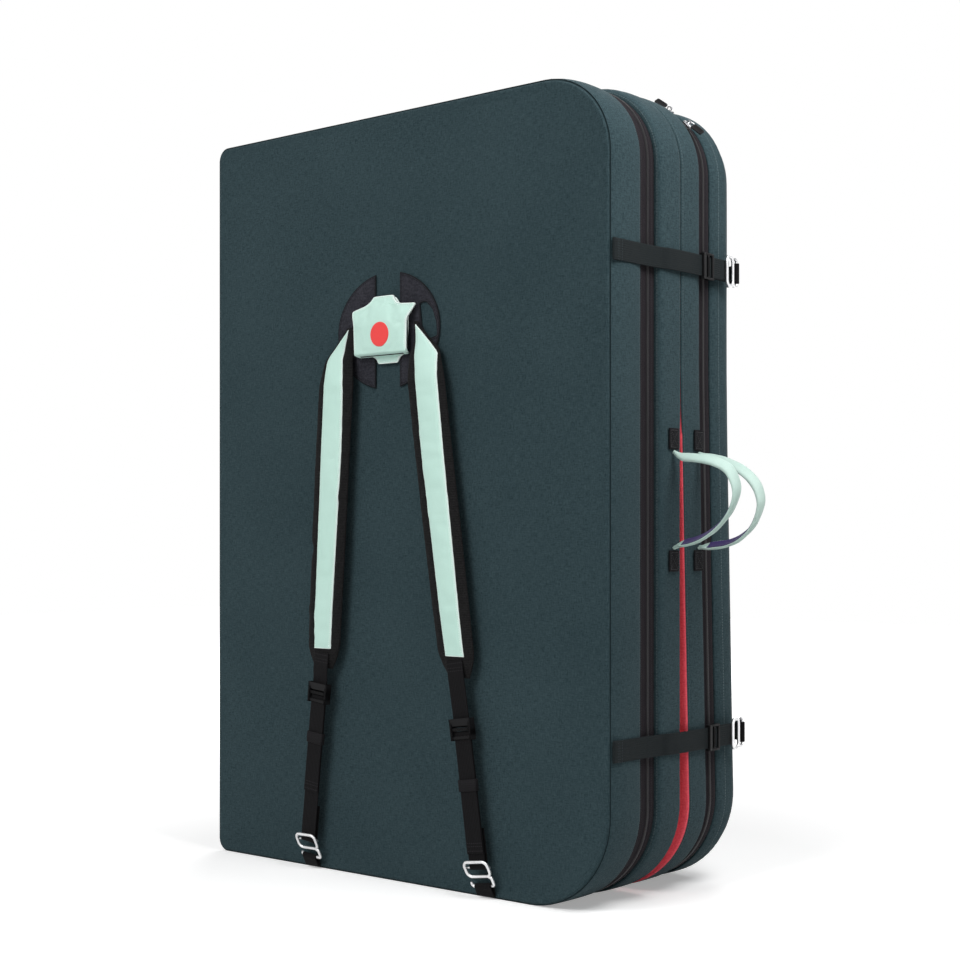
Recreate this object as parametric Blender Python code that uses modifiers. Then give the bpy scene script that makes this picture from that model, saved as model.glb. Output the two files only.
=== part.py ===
"""A bouldering crash pad, folded in half and standing on its short side.

Two foam-filled halves meet at a fabric spine. Pad coordinates run from the spine's outer corner at the
front ground face: X towards the opening side, Y towards the rear ground face and Z up. One empty moves
them all, so that the origin lies under the middle of the whole object.
"""

import math

import bmesh
import bpy
from mathutils import Matrix, Vector

# Pad
PAD_WIDTH = 0.788
PAD_HEIGHT = 1.15
HALF_THICKNESS = 0.1605
FOLD_GAP = 0.002
TOP_CORNER_RADIUS = 0.112
BASE_CORNER_RADIUS = 0.138
SPINE_CORNER_RADIUS = 0.02
FRONT_EDGE_RADIUS = 0.003
REAR_EDGE_RADIUS = 0.018
OUTER_BULGE = 0.005
INNER_BULGE = 0.012
FOOT_GAP = 0.024
SETTLE_HEIGHT = 0.76
SETTLE_POWER_SHARE = 1.15
FABRIC = 0.002
CLEARANCE = 0.0003
CORNER_STEPS = 8
EDGE_STEPS = 3
LEANING_ROWS = 4

# How far out each strip of the side wall stands, across the strip
OUTER_STRIP_SHARES = ((0.2, 0.8), (0.5, 1.0), (0.86, 0.8), (1.0, 0.1))
INNER_STRIP_SHARES = ((0.0, 0.1), (0.08, 0.72), (0.3, 1.0), (0.72, 1.0), (0.93, 0.75), (1.0, 0.35))

# Foam
LANDING_FOAM_THICKNESS = 0.03

# Zips
ZIP_FROM_FACE = 0.073
ZIP_TAPE_WIDTH = 0.035
ZIP_TAPE_THICKNESS = 0.0016
ZIP_TAPE_DEPTH = 0.0005
ZIP_BASE_LIFT = 0.002
ZIP_END_SHARE = 0.9
ZIP_COIL_WIDTH = 0.006
ZIP_COIL_HEIGHT = 0.0018
SLIDER_LENGTH = 0.016
SLIDER_WIDTH = 0.011
SLIDER_HEIGHT = 0.004
BRIDGE_LENGTH = 0.008
BRIDGE_WIDTH = 0.0024
BRIDGE_HEIGHT = 0.0048
BRIDGE_WALL = 0.0014
PULL_PIN_RADIUS = 0.0009
PULL_LENGTH = 0.03
PULL_WIDTH = 0.009
PULL_THICKNESS = 0.0022
PULL_ARM_LENGTH = 0.008
SLIDER_ANGLES_SHARES = (0.70, 0.47)
FRONT_SLIDERS_FROM_SPINE = 0.33
FRONT_SLIDERS_APART = 0.034

# Webbing
WEBBING_WIDTH = 0.03
WEBBING_THICKNESS = 0.0016
SPINE_STRIP_WIDTH = 0.09
SPINE_STRIP_THICKNESS = 0.0015

# Closure straps
TOP_CLOSURE_FROM_TOP = 0.246
BOTTOM_CLOSURE_HEIGHT = 0.225
CLOSURE_START = 0.002
CLOSURE_STITCHED_LENGTH = 0.02
CLOSURE_LIFT = 0.0006
CLOSURE_PASS = 0.0158
CLOSURE_BUCKLE_Y = 0.219
CLOSURE_HOOK_Y = 0.277
CLOSURE_HOOK_TILT_SHARE = 0.2
CLOSURE_LOOP_SEWN = 0.045
CLOSURE_LOOP_SPREAD = 0.003

# Hooks, one shape for all four
HOOK_WIRE = 0.0023
HOOK_RING_WIDTH = 0.0425
HOOK_RING_LENGTH = 0.0235
HOOK_RING_CORNER = 0.008
HOOK_REACH = 0.0275
HOOK_LIP = 0.007
HOOK_CROSSBAR_SETBACK = 0.005
HOOK_CROSSBAR_RADIUS = 0.0015

# Buckles and keepers
BUCKLE_WIDTH = 0.038
BUCKLE_LENGTH = 0.029
BUCKLE_RAIL = 0.006
BUCKLE_COVER = 0.0024
BUCKLE_BAR = 0.005
BUCKLE_BEVEL = 0.0012
KEEPER_LENGTH = 0.017
KEEPER_WALL = 0.0018

# Grab handles
HANDLE_FROM_MIDDLE = -0.008
HANDLE_BASE = 0.136
HANDLE_REACH = 0.12
HANDLE_WIDTH = 0.026
HANDLE_END_WIDTH = 0.005
HANDLE_THICKNESS = 0.008
HANDLE_END_THICKNESS = 0.0045
HANDLE_FROM_FOLD = {"front": 0.0235, "rear": 0.036}
HANDLE_STANDOFF = 0.0055
HANDLE_LINING_WIDTH = 0.018
HANDLE_LINING_THICKNESS = 0.0012
HANDLE_STEPS = 16
HANDLE_TAPER_SHARE = 0.25
ARCH_POWER_SHARE = 0.84
SECTION_POWER_SHARE = 0.55
TAB_WIDTH = 0.024
TAB_LENGTH = 0.03
TAB_THICKNESS = 0.0015

# Harness
HARNESS_FROM_MIDDLE = -0.012
HARNESS_HEIGHT = 0.824
PATCH_HALF_WIDTH = 0.104
PATCH_HALF_HEIGHT = 0.088
PATCH_SLOT = 0.049
PATCH_THICKNESS = 0.0015
PATCH_STEPS = 12
YOKE_HALF_WIDTH = 0.066
YOKE_HALF_HEIGHT = 0.052
YOKE_THICKNESS = 0.003
YOKE_PAD_WIDTH = 0.104
YOKE_PAD_HEIGHT = 0.074
YOKE_PAD_THICKNESS = 0.0125
YOKE_PAD_BEVEL = 0.0045
YOKE_DISC_RADIUS = 0.0185
YOKE_DISC_THICKNESS = 0.0008
YOKE_DISC_DROP = 0.007

# Half of the yoke's outline, from the top arm down to the bottom arm
YOKE_OUTLINE_SHARES = (
    (0.355, 1.0), (0.40, 0.87), (0.50, 0.76), (0.62, 0.72), (1.0, 0.70), (0.80, 0.24),
    (0.76, -0.64), (0.58, -0.72), (0.46, -0.77), (0.39, -0.86), (0.355, -1.0),
)
# The opening in each patch beside the yoke, where the strap goes in
PATCH_WINDOW_SHARES = ((0.71, 0.36), (0.82, 0.26), (0.92, -0.08), (0.80, -0.12), (0.71, 0.02))

# Shoulder straps
STRAP_STANDOFF = 0.008
STRAP_THICKNESS = 0.014
STRAP_WIDTH = 0.072
STRAP_LENGTH = 0.512
STRAP_TOP_FROM_CENTRE = 0.080
STRAP_ROOT_THICKNESS = 0.004
STRAP_SHOULDER_SHARE = 0.08
FACING_THICKNESS = 0.0012
FACING_WIDTH = 0.043
# Down the strap: share of its length, then the inner and outer edges as shares of half the facing's width
FACING_EDGE_SHARES = (
    (0.0, -0.6, -0.3), (0.03, -0.8, 0.5), (0.075, -1.0, 1.0), (0.35, -1.0, 1.0), (0.94, -0.84, 0.84),
)
STRAP_WEBBING_START_SHARE = 0.95
# Down the strap: share of its length, of its width, of its thickness and of its standoff
STRAP_SECTION_SHARES = (
    (0.0, 0.52, 0.30, 0.0), (0.035, 0.62, 0.55, 0.12), (0.08, 0.82, 0.90, 0.5), (0.15, 1.0, 1.0, 0.9),
    (0.35, 1.0, 1.0, 1.0), (0.6, 1.0, 1.0, 1.0), (0.82, 0.97, 1.0, 1.0), (0.93, 0.94, 0.9, 1.0),
    (0.97, 0.76, 0.72, 1.0), (1.0, 0.5, 0.5, 1.1),
)
# Each strap: its side, then how far its shoulder, its foot and its hook are from the harness centre
STRAPS = {
    "left": {"side": -1, "shoulder": 0.0935, "foot": 0.1235, "hook": 0.154},
    "right": {"side": 1, "shoulder": 0.0825, "foot": 0.1515, "hook": 0.190},
}
# From each foot to its hook: the buckle, then below the buckle the keeper and the end of the tail
STRAP_RUN_SHARES = {"left": (0.1404, 0.2586, 0.5689), "right": (0.2686, 0.2944, 0.6514)}
STRAP_FOLD_BACK = 0.055
SHOULDER_HOOK_HEIGHT = 0.043
SHOULDER_HOOK_OUT = 0.0195
SHOULDER_HOOK_TILT_SHARE = 0.44
LOOP_FOOT = 0.003
LOOP_SPREAD = 0.003

PAD_DEPTH = 2 * HALF_THICKNESS + FOLD_GAP
FOLD_PLANE = HALF_THICKNESS + FOLD_GAP / 2
FOLD_AXIS_X = -(CLEARANCE + SPINE_STRIP_THICKNESS / 2)
INNER_STRIP_START = ZIP_FROM_FACE + ZIP_TAPE_WIDTH
HARNESS_X = PAD_WIDTH / 2 + HARNESS_FROM_MIDDLE
TOP_CLOSURE_HEIGHT = PAD_HEIGHT - TOP_CLOSURE_FROM_TOP
HANDLE_HEIGHT = PAD_HEIGHT / 2 + HANDLE_FROM_MIDDLE
FRAME_X = -(PAD_WIDTH + HANDLE_REACH - CLEARANCE - SPINE_STRIP_THICKNESS) / 2
FRAME_Y = -(PAD_DEPTH + FOOT_GAP - SHOULDER_HOOK_OUT - HOOK_CROSSBAR_SETBACK) / 2

COLOURS = {
    "shell_fabric": ((0.046, 0.069, 0.079), 0.85, 0.0),
    "landing_fabric": ((0.60, 0.045, 0.065), 0.8, 0.0),
    "mint_fabric": ((0.60, 0.83, 0.74), 0.75, 0.0),
    "lining_fabric": ((0.06, 0.035, 0.17), 0.8, 0.0),
    "coral_print": ((0.78, 0.07, 0.08), 0.6, 0.0),
    "webbing": ((0.018, 0.016, 0.019), 0.8, 0.0),
    "padding": ((0.022, 0.02, 0.023), 0.9, 0.0),
    "zip_tape": ((0.013, 0.011, 0.014), 0.85, 0.0),
    "zip_coil": ((0.012, 0.011, 0.013), 0.45, 0.0),
    "buckle_plastic": ((0.013, 0.013, 0.014), 0.4, 0.0),
    "hook_metal": ((0.62, 0.62, 0.63), 0.32, 1.0),
    "slider_metal": ((0.30, 0.30, 0.31), 0.35, 1.0),
    "open_cell_foam": ((0.72, 0.68, 0.52), 0.95, 0.0),
    "closed_cell_foam": ((0.10, 0.10, 0.11), 0.9, 0.0),
}


def clear_scene():
    for thing in list(bpy.data.objects):
        bpy.data.objects.remove(thing, do_unlink=True)


def new_collection(name):
    made = bpy.data.collections.new(name)
    bpy.context.scene.collection.children.link(made)
    return made


def finish_of(name, slot):
    """A material of the piece's own, in the colour of its slot."""
    colour, roughness, metallic = COLOURS[slot]
    made = bpy.data.materials.new(name)
    made.use_nodes = True
    shader = made.node_tree.nodes["Principled BSDF"]
    shader.inputs["Base Color"].default_value = (*colour, 1)
    shader.inputs["Roughness"].default_value = roughness
    shader.inputs["Metallic"].default_value = metallic
    made.diffuse_color = (*colour, 1)
    return made


def new_object(name, data, slot):
    made = bpy.data.objects.new(name, data)
    PARTS.objects.link(made)
    data.materials.append(finish_of(name, slot))
    return made


def object_from(name, bm, slot, outwards=False):
    """The object of a bmesh. An open surface of the pad's skin is turned to face out of the pad."""
    bmesh.ops.recalc_face_normals(bm, faces=bm.faces)
    if outwards:
        middle = Vector((PAD_WIDTH / 2, FOLD_PLANE, PAD_HEIGHT / 2))
        outwardness = [(face.calc_center_median() - middle).dot(face.normal) for face in bm.faces]
        if sum(share * face.calc_area() for share, face in zip(outwardness, bm.faces)) < 0:
            bmesh.ops.reverse_faces(bm, faces=bm.faces)
    mesh = bpy.data.meshes.new(name)
    bm.to_mesh(mesh)
    bm.free()
    return new_object(name, mesh, slot)


def solidify(piece, thickness, offset):
    shell = piece.modifiers.new("thickness", "SOLIDIFY")
    shell.thickness = thickness
    shell.offset = offset
    shell.use_even_offset = True
    shell.use_quality_normals = True
    return piece


def smooth(piece, degrees=35):
    piece.data.shade_smooth()
    piece.data.set_sharp_from_angle(angle=math.radians(degrees))
    return piece


def settle(piece, parent, pivot=None):
    """Hangs the piece on its empty, with its own origin at the pivot."""
    pivot = Vector(pivot) if pivot else Vector((0, 0, 0))
    piece.data.transform(Matrix.Translation(-pivot))
    piece.parent = parent
    piece.location = pivot - EMPTY_PLACES[parent.name]
    return piece


def new_empty(name, place, parent=None):
    """An empty at a place in pad coordinates, on a joint's axis."""
    made = bpy.data.objects.new(name, None)
    PARTS.objects.link(made)
    EMPTY_PLACES[name] = Vector(place)
    made.parent = parent
    made.location = Vector(place) - (EMPTY_PLACES[parent.name] if parent else Vector((0, 0, 0)))
    return made


def baked(piece):
    """The piece as a plain mesh, its modifiers applied and its caps joined to its sides."""
    finish = piece.data.materials[0]
    graph = bpy.context.evaluated_depsgraph_get()
    mesh = bpy.data.meshes.new_from_object(piece.evaluated_get(graph))
    bm = bmesh.new()
    bm.from_mesh(mesh)
    bmesh.ops.remove_doubles(bm, verts=bm.verts, dist=CLEARANCE / 100)
    bmesh.ops.recalc_face_normals(bm, faces=bm.faces)
    if bm.calc_volume(signed=True) < 0:
        bmesh.ops.reverse_faces(bm, faces=bm.faces)
    for face in bm.faces:
        face.material_index = 0
    bm.to_mesh(mesh)
    bm.free()
    mesh.materials.clear()
    mesh.materials.append(finish)
    name, place = piece.name, piece.matrix_world.copy()
    bpy.data.objects.remove(piece, do_unlink=True)
    made = bpy.data.objects.new(name, mesh)
    made.matrix_world = place
    PARTS.objects.link(made)
    return made


def combined(piece, other, operation):
    """The piece joined with, or cut by, another object, which is used up."""
    step = piece.modifiers.new("combine", "BOOLEAN")
    step.object = other
    step.operation = operation
    step.solver = "EXACT"
    bpy.context.view_layer.update()
    made = baked(piece)
    bpy.data.objects.remove(other, do_unlink=True)
    return made


def lean(x, z):
    """How far back the rear half stands at a point, where its foot has crept away from the front half."""
    rise = max(0.0, 1 - z / SETTLE_HEIGHT) ** SETTLE_POWER_SHARE
    return FOOT_GAP * rise * max(0.0, x) / PAD_WIDTH


def to_rear(point):
    """The matching point of the rear half, which mirrors the front half across the fold."""
    x, y, z = point
    return Vector((x, PAD_DEPTH - y + lean(x, z), z))


def outline_rows(leaning_rows):
    """Rows of the outline from the base up: right point and normal, left point and normal, all in XZ."""
    rights = []
    for step in range(CORNER_STEPS + 1):
        angle = math.radians(-90 + 90 * step / CORNER_STEPS)
        normal = Vector((math.cos(angle), math.sin(angle)))
        centre = Vector((PAD_WIDTH - BASE_CORNER_RADIUS, BASE_CORNER_RADIUS))
        rights.append((centre + BASE_CORNER_RADIUS * normal, normal))
    for row in range(leaning_rows):
        top = max(SETTLE_HEIGHT, BASE_CORNER_RADIUS)
        height = BASE_CORNER_RADIUS + (top - BASE_CORNER_RADIUS) * (row + 1) / leaning_rows
        if height < PAD_HEIGHT - TOP_CORNER_RADIUS:
            rights.append((Vector((PAD_WIDTH, height)), Vector((1, 0))))
    for step in range(CORNER_STEPS + 1):
        angle = math.radians(90 * step / CORNER_STEPS)
        normal = Vector((math.cos(angle), math.sin(angle)))
        centre = Vector((PAD_WIDTH - TOP_CORNER_RADIUS, PAD_HEIGHT - TOP_CORNER_RADIUS))
        rights.append((centre + TOP_CORNER_RADIUS * normal, normal))
    return [(right, normal, *spine_point(right.y)) for right, normal in rights]


def spine_point(height):
    """The spine side's point and normal at a height, with its two small corners."""
    radius = SPINE_CORNER_RADIUS
    rise = min(1.0, max(0.0, 1 - height / radius))
    fall = min(1.0, max(0.0, 1 - (PAD_HEIGHT - height) / radius))
    sine = fall - rise
    cosine = math.sqrt(max(0.0, 1 - sine * sine))
    return Vector((radius * (1 - cosine), height)), Vector((-cosine, sine))


def offset_point(point, normal, offset, on_spine):
    """A point of the outline moved out, but never through the base or past the spine."""
    across = min(offset, 0.0) if on_spine else offset
    upward = offset if offset < 0 or normal.y > 0 else 0.0
    return Vector((point.x + normal.x * across, point.y + normal.y * upward))


def section(rows, y_open, y_spine, offset, lift=0.0):
    """One closed ring of the half, up the opening side and down the spine side, its base lifted."""
    rights, lefts = [], []
    for right, right_normal, left, left_normal in rows:
        place = offset_point(right, right_normal, offset, False)
        rights.append(Vector((place.x, y_open, place.y + lift * max(0.0, -right_normal.y))))
        place = offset_point(left, left_normal, offset, True)
        share = max(0.0, 1 - abs(left_normal.y)) ** 0.5 if left_normal.y else 1.0
        height = place.y + lift * max(0.0, -left_normal.y)
        lefts.append(Vector((place.x, y_open + (y_spine - y_open) * share, height)))
    return rights, lefts


def add_ring(bm, ring, mapped):
    rights, lefts = ring
    right_verts = [bm.verts.new(mapped(point)) for point in rights]
    left_verts = [bm.verts.new(mapped(point)) for point in lefts]
    return right_verts, left_verts


def bridge(bm, first, second):
    """Faces between two rings of the same count."""
    a = first[0] + first[1][::-1]
    b = second[0] + second[1][::-1]
    for i in range(len(a)):
        j = (i + 1) % len(a)
        bm.faces.new((a[i], a[j], b[j], b[i]))


def cap(bm, ring):
    """A ring's flat panel, in strips across the pad."""
    rights, lefts = ring
    for i in range(len(rights) - 1):
        bm.faces.new((rights[i], rights[i + 1], lefts[i + 1], lefts[i]))


def edge_stations(radius):
    """The rounded edge between the ground face and the wall, as pairs of depth and offset."""
    steps = [math.radians(90 * step / EDGE_STEPS) for step in range(EDGE_STEPS)]
    return [(radius * (1 - math.cos(a)), -radius * (1 - math.sin(a))) for a in steps]


def outer_stations(edge_radius):
    """The outer cover's wall, from the ground face to the zip."""
    stations = edge_stations(edge_radius)
    run = ZIP_FROM_FACE - edge_radius
    return stations + [(edge_radius + run * along, OUTER_BULGE * out) for along, out in OUTER_STRIP_SHARES]


def inner_stations():
    """The inner wall's profile, from the zip to the landing face."""
    run = HALF_THICKNESS - INNER_STRIP_START
    return [(INNER_STRIP_START + run * along, INNER_BULGE * out) for along, out in INNER_STRIP_SHARES]


def in_front(point):
    """The front half is the one that the sizes describe."""
    return Vector(point)


HALVES = {
    "front": (in_front, FRONT_EDGE_RADIUS, 0),
    "rear": (to_rear, REAR_EDGE_RADIUS, LEANING_ROWS),
}


def outer_cover(half):
    """Ground panel and outer wall in one tray. On the spine side the wall is full width."""
    mapped, edge_radius, leaning_rows = HALVES[half]
    rows = outline_rows(leaning_rows)
    spine_stretch = (INNER_STRIP_START - CLEARANCE) / ZIP_FROM_FACE
    bm = bmesh.new()
    rings = []
    for y, offset in outer_stations(edge_radius):
        y_spine = y if y < edge_radius else y * spine_stretch
        rings.append(add_ring(bm, section(rows, y, y_spine, offset), mapped))
    cap(bm, rings[0])
    for first, second in zip(rings, rings[1:]):
        bridge(bm, first, second)
    piece = object_from(half + "_outer_cover", bm, "shell_fabric", outwards=True)
    return smooth(solidify(piece, FABRIC, -1))


def inner_wall(half):
    """The inner cover's wall, a band right round the half from the zip to the landing face."""
    mapped, _, leaning_rows = HALVES[half]
    rows = outline_rows(leaning_rows)
    bm = bmesh.new()
    rings = [add_ring(bm, section(rows, y, y, offset), mapped) for y, offset in inner_stations()]
    for first, second in zip(rings, rings[1:]):
        bridge(bm, first, second)
    piece = object_from(half + "_inner_wall", bm, "shell_fabric", outwards=True)
    return smooth(solidify(piece, FABRIC, -1))


def landing_panel(half):
    """The panel that a climber falls on, inside the end of the inner wall."""
    mapped, _, leaning_rows = HALVES[half]
    rows = outline_rows(leaning_rows)
    offset = -(FABRIC + CLEARANCE)
    bm = bmesh.new()
    inside, outside = [
        add_ring(bm, section(rows, y, y, offset), mapped) for y in (HALF_THICKNESS - FABRIC, HALF_THICKNESS)
    ]
    cap(bm, inside)
    cap(bm, outside)
    bridge(bm, inside, outside)
    return object_from(half + "_landing_panel", bm, "landing_fabric")


def foam_block(half, name, stations, slot):
    """A foam sheet through rings at pairs of depth and offset, shaped to the inside of the covers."""
    mapped, _, leaning_rows = HALVES[half]
    rows = outline_rows(leaning_rows)
    bm = bmesh.new()
    rings = [add_ring(bm, section(rows, y, y, offset, ZIP_BASE_LIFT), mapped) for y, offset in stations]
    cap(bm, rings[0])
    cap(bm, rings[-1])
    for first, second in zip(rings, rings[1:]):
        bridge(bm, first, second)
    return object_from(f"{half}_{name}", bm, slot)


def foam_blocks(half):
    """Open-cell core at the ground side, with the firm closed-cell sheet under the landing panel."""
    _, edge_radius, _ = HALVES[half]
    inset = ZIP_TAPE_DEPTH + ZIP_TAPE_THICKNESS + CLEARANCE
    edge = edge_stations(edge_radius - FABRIC)
    stations = [(FABRIC + CLEARANCE + y, offset - inset) for y, offset in edge]
    end = HALF_THICKNESS - FABRIC - CLEARANCE
    split = end - LANDING_FOAM_THICKNESS
    core = foam_block(half, "foam_core", stations + [(split - CLEARANCE, -inset)], "open_cell_foam")
    return [core, foam_block(half, "foam_top", [(split, -inset), (end, -inset)], "closed_cell_foam")]


def join_edges(bm, edges):
    """Faces between two rows of vertices."""
    for i in range(len(edges[0]) - 1):
        bm.faces.new((edges[0][i], edges[0][i + 1], edges[1][i + 1], edges[1][i]))


def zip_run(half, y_start, y_end, offset):
    """The band round the three open sides, as an open surface that ends at the spine's corners."""
    mapped, _, leaning_rows = HALVES[half]
    rows = outline_rows(leaning_rows)
    tail = [i for i, row in enumerate(rows) if ZIP_END_SHARE < abs(row[3].y)]
    low = [i for i in tail if rows[i][3].y < 0]
    high = [i for i in tail if rows[i][3].y > 0]
    bm = bmesh.new()
    edges = []
    for y in (y_start, y_end):
        spine_y = INNER_STRIP_START - CLEARANCE
        rights, lefts = section(rows, y, spine_y, offset, ZIP_BASE_LIFT)
        path = [lefts[i] for i in reversed(low)] + rights + [lefts[i] for i in reversed(high)]
        edges.append([bm.verts.new(mapped(point)) for point in path])
    join_edges(bm, edges)
    return bm


def zip_tape(half):
    bm = zip_run(half, ZIP_FROM_FACE + 3 * CLEARANCE, INNER_STRIP_START - CLEARANCE, -ZIP_TAPE_DEPTH)
    piece = object_from(half + "_zip_tape", bm, "zip_tape", outwards=True)
    return solidify(piece, ZIP_TAPE_THICKNESS, -1)


def zip_coil(half):
    """The coil stands on the middle of the tape and stops at the spine's corners."""
    mapped, _, leaning_rows = HALVES[half]
    rows = outline_rows(leaning_rows)
    middle = ZIP_FROM_FACE + ZIP_TAPE_WIDTH / 2
    offset = CLEARANCE - ZIP_TAPE_DEPTH
    bm = bmesh.new()
    edges = []
    for y in (middle - ZIP_COIL_WIDTH / 2, middle + ZIP_COIL_WIDTH / 2):
        rights, lefts = section(rows, y, y, offset, ZIP_BASE_LIFT)
        path = [lefts[0]] + rights + [lefts[-1]]
        edges.append([bm.verts.new(mapped(point)) for point in path])
    join_edges(bm, edges)
    piece = object_from(half + "_zip_coil", bm, "zip_coil", outwards=True)
    return solidify(piece, ZIP_COIL_HEIGHT, 1)


class Frame:
    """A local frame: a across, b along and c out."""

    def __init__(self, origin, along, out):
        self.origin = Vector(origin)
        self.along = Vector(along).normalized()
        out = Vector(out)
        self.out = (out - out.dot(self.along) * self.along).normalized()
        self.across = self.along.cross(self.out)

    def at(self, a, b, c):
        return self.origin + self.across * a + self.along * b + self.out * c

    def moved(self, a, b, c):
        return Frame(self.at(a, b, c), self.along, self.out)

    def matrix(self):
        turn = Matrix((self.across, self.along, self.out)).transposed().to_4x4()
        return Matrix.Translation(self.origin) @ turn


def box(name, frame, size, slot=None, bevel=0.0):
    """A cuboid centred on a frame, its size given across, along and out."""
    bm = bmesh.new()
    bmesh.ops.create_cube(bm, size=1, matrix=frame.matrix() @ Matrix.Diagonal((*size, 1)))
    if slot is None:
        bmesh.ops.recalc_face_normals(bm, faces=bm.faces)
        mesh = bpy.data.meshes.new(name)
        bm.to_mesh(mesh)
        bm.free()
        made = bpy.data.objects.new(name, mesh)
        CUTTERS.objects.link(made)
        made.hide_render = True
        made.display_type = "WIRE"
        return made
    made = object_from(name, bm, slot)
    if bevel:
        rounding = made.modifiers.new("rounding", "BEVEL")
        rounding.width = bevel
        rounding.segments = 2
        rounding.limit_method = "ANGLE"
    return made


def strip(name, edges, slot, thickness, offset=0.0, outwards=False):
    """A flat band between pairs of edge points, given its thickness."""
    bm = bmesh.new()
    pairs = [(bm.verts.new(a), bm.verts.new(b)) for a, b in edges]
    join_edges(bm, ([pair[0] for pair in pairs], [pair[1] for pair in pairs]))
    return solidify(object_from(name, bm, slot, outwards=outwards), thickness, offset)


def ribbon(name, path, across, slot, thickness=WEBBING_THICKNESS, width=WEBBING_WIDTH):
    """Webbing along a path, its width square to it."""
    half = Vector(across).normalized() * (width / 2)
    return strip(name, [(Vector(p) - half, Vector(p) + half) for p in path], slot, thickness)


def arc(centre, first, second, radius, start, end, steps):
    """Points on an arc, its angle measured from the first axis towards the second, in degrees."""
    angles = [math.radians(start + (end - start) * step / steps) for step in range(steps + 1)]
    return [centre + radius * (math.cos(a) * first + math.sin(a) * second) for a in angles]


def wire(name, points, radius, slot, closed=False):
    """A round wire through the points."""
    curve = bpy.data.curves.new(name, "CURVE")
    curve.dimensions = "3D"
    curve.bevel_depth = radius
    curve.bevel_resolution = 2
    curve.use_fill_caps = True
    spline = curve.splines.new("POLY")
    spline.points.add(len(points) - 1)
    for target, point in zip(spline.points, points):
        target.co = (*point, 1)
    spline.use_cyclic_u = closed
    return new_object(name, curve, slot)


def plate(name, frame, outlines, thickness, slot):
    """A flat outline in a frame, with any further outlines cut out of it."""
    curve = bpy.data.curves.new(name, "CURVE")
    curve.dimensions = "2D"
    curve.fill_mode = "BOTH"
    curve.extrude = thickness / 2
    for outline in outlines:
        spline = curve.splines.new("POLY")
        spline.points.add(len(outline) - 1)
        for target, (a, b) in zip(spline.points, outline):
            target.co = (a, b, 0, 1)
        spline.use_cyclic_u = True
    made = new_object(name, curve, slot)
    made.matrix_world = frame.matrix()
    bpy.context.view_layer.update()
    made = baked(made)
    made.data.transform(made.matrix_world)
    made.matrix_world = Matrix.Identity(4)
    return made


def swept(name, stations, slot):
    """A padded band through stations, each an origin, half width and half thickness vectors."""
    count = 12
    bm = bmesh.new()
    rings = []
    for origin, half_width, half_thickness in stations:
        ring = []
        for step in range(count):
            angle = 2 * math.pi * (step + 0.5) / count
            a, c = math.cos(angle), math.sin(angle)
            a = math.copysign(abs(a) ** SECTION_POWER_SHARE, a)
            c = math.copysign(abs(c) ** SECTION_POWER_SHARE, c)
            ring.append(bm.verts.new(origin + half_width * a + half_thickness * c))
        rings.append(ring)
    for first, second in zip(rings, rings[1:]):
        for i in range(count):
            j = (i + 1) % count
            bm.faces.new((first[i], first[j], second[j], second[i]))
    bm.faces.new(rings[0])
    bm.faces.new(rings[-1])
    return smooth(object_from(name, bm, slot), 50)


def hook(name, frame):
    """A flat hook bent from wire: a closed ring, a crossbar behind it for the webbing, and an open arm."""
    half_width, half_length = HOOK_RING_WIDTH / 2, HOOK_RING_LENGTH / 2
    corner = HOOK_RING_CORNER
    points = []
    for sign_a, sign_b, start in ((1, 1, 0), (-1, 1, 90), (-1, -1, 180), (1, -1, 270)):
        centre = Vector((sign_a * (half_width - corner), sign_b * (half_length - corner), 0))
        points += arc(centre, Vector((1, 0, 0)), Vector((0, 1, 0)), corner, start, start + 90, 3)
    ring = baked(wire(name, [frame.at(*p) for p in points], HOOK_WIRE, "hook_metal", closed=True))
    leg = half_width - HOOK_WIRE / 2
    turn = HOOK_RING_CORNER / 2
    arm = [(leg - turn, half_length, 0), (leg, half_length + turn, 0), (leg, HOOK_REACH - turn, 0)]
    arm += [(leg - turn, HOOK_REACH, 0), (turn - leg, HOOK_REACH, 0), (-leg, HOOK_REACH - turn, 0)]
    arm += [(-leg, HOOK_REACH - HOOK_LIP, 0)]
    arm = baked(wire(name + "_arm", [frame.at(*p) for p in arm], HOOK_WIRE, "hook_metal"))
    ring = combined(ring, arm, "UNION")
    back = -HOOK_CROSSBAR_SETBACK
    bar = [(-half_width, 0, 0), (-half_width, 0, back), (half_width, 0, back), (half_width, 0, 0)]
    bar = baked(wire(name + "_bar", [frame.at(*p) for p in bar], HOOK_CROSSBAR_RADIUS, "hook_metal"))
    return smooth(combined(ring, bar, "UNION"))


def buckle(name, frame, layers, with_bar):
    """A ladder-lock: a slotted block that the webbing runs through, with a cross bar where it has one."""
    channel = layers * (WEBBING_THICKNESS + 2 * CLEARANCE)
    height = channel + 2 * BUCKLE_COVER
    made = box(name, frame, (BUCKLE_WIDTH, BUCKLE_LENGTH, height), "buckle_plastic", BUCKLE_BEVEL)
    inside = WEBBING_WIDTH + 4 * CLEARANCE
    half_bar = BUCKLE_BAR / 2
    reach = BUCKLE_LENGTH / 2
    for side in (-1, 1):
        start = half_bar if with_bar else -half_bar
        length = reach - start + BUCKLE_BAR
        middle = side * (start + length / 2)
        cutter = box("channel", frame.moved(0, middle, 0), (inside, length, channel))
        made = combined(made, cutter, "DIFFERENCE")
        window = reach - BUCKLE_RAIL - half_bar
        middle = side * (half_bar + BUCKLE_BEVEL + window / 2)
        cutter = box("window", frame.moved(0, middle, height / 2), (inside - BUCKLE_BAR, window, height))
        made = combined(made, cutter, "DIFFERENCE")
    return made


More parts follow.
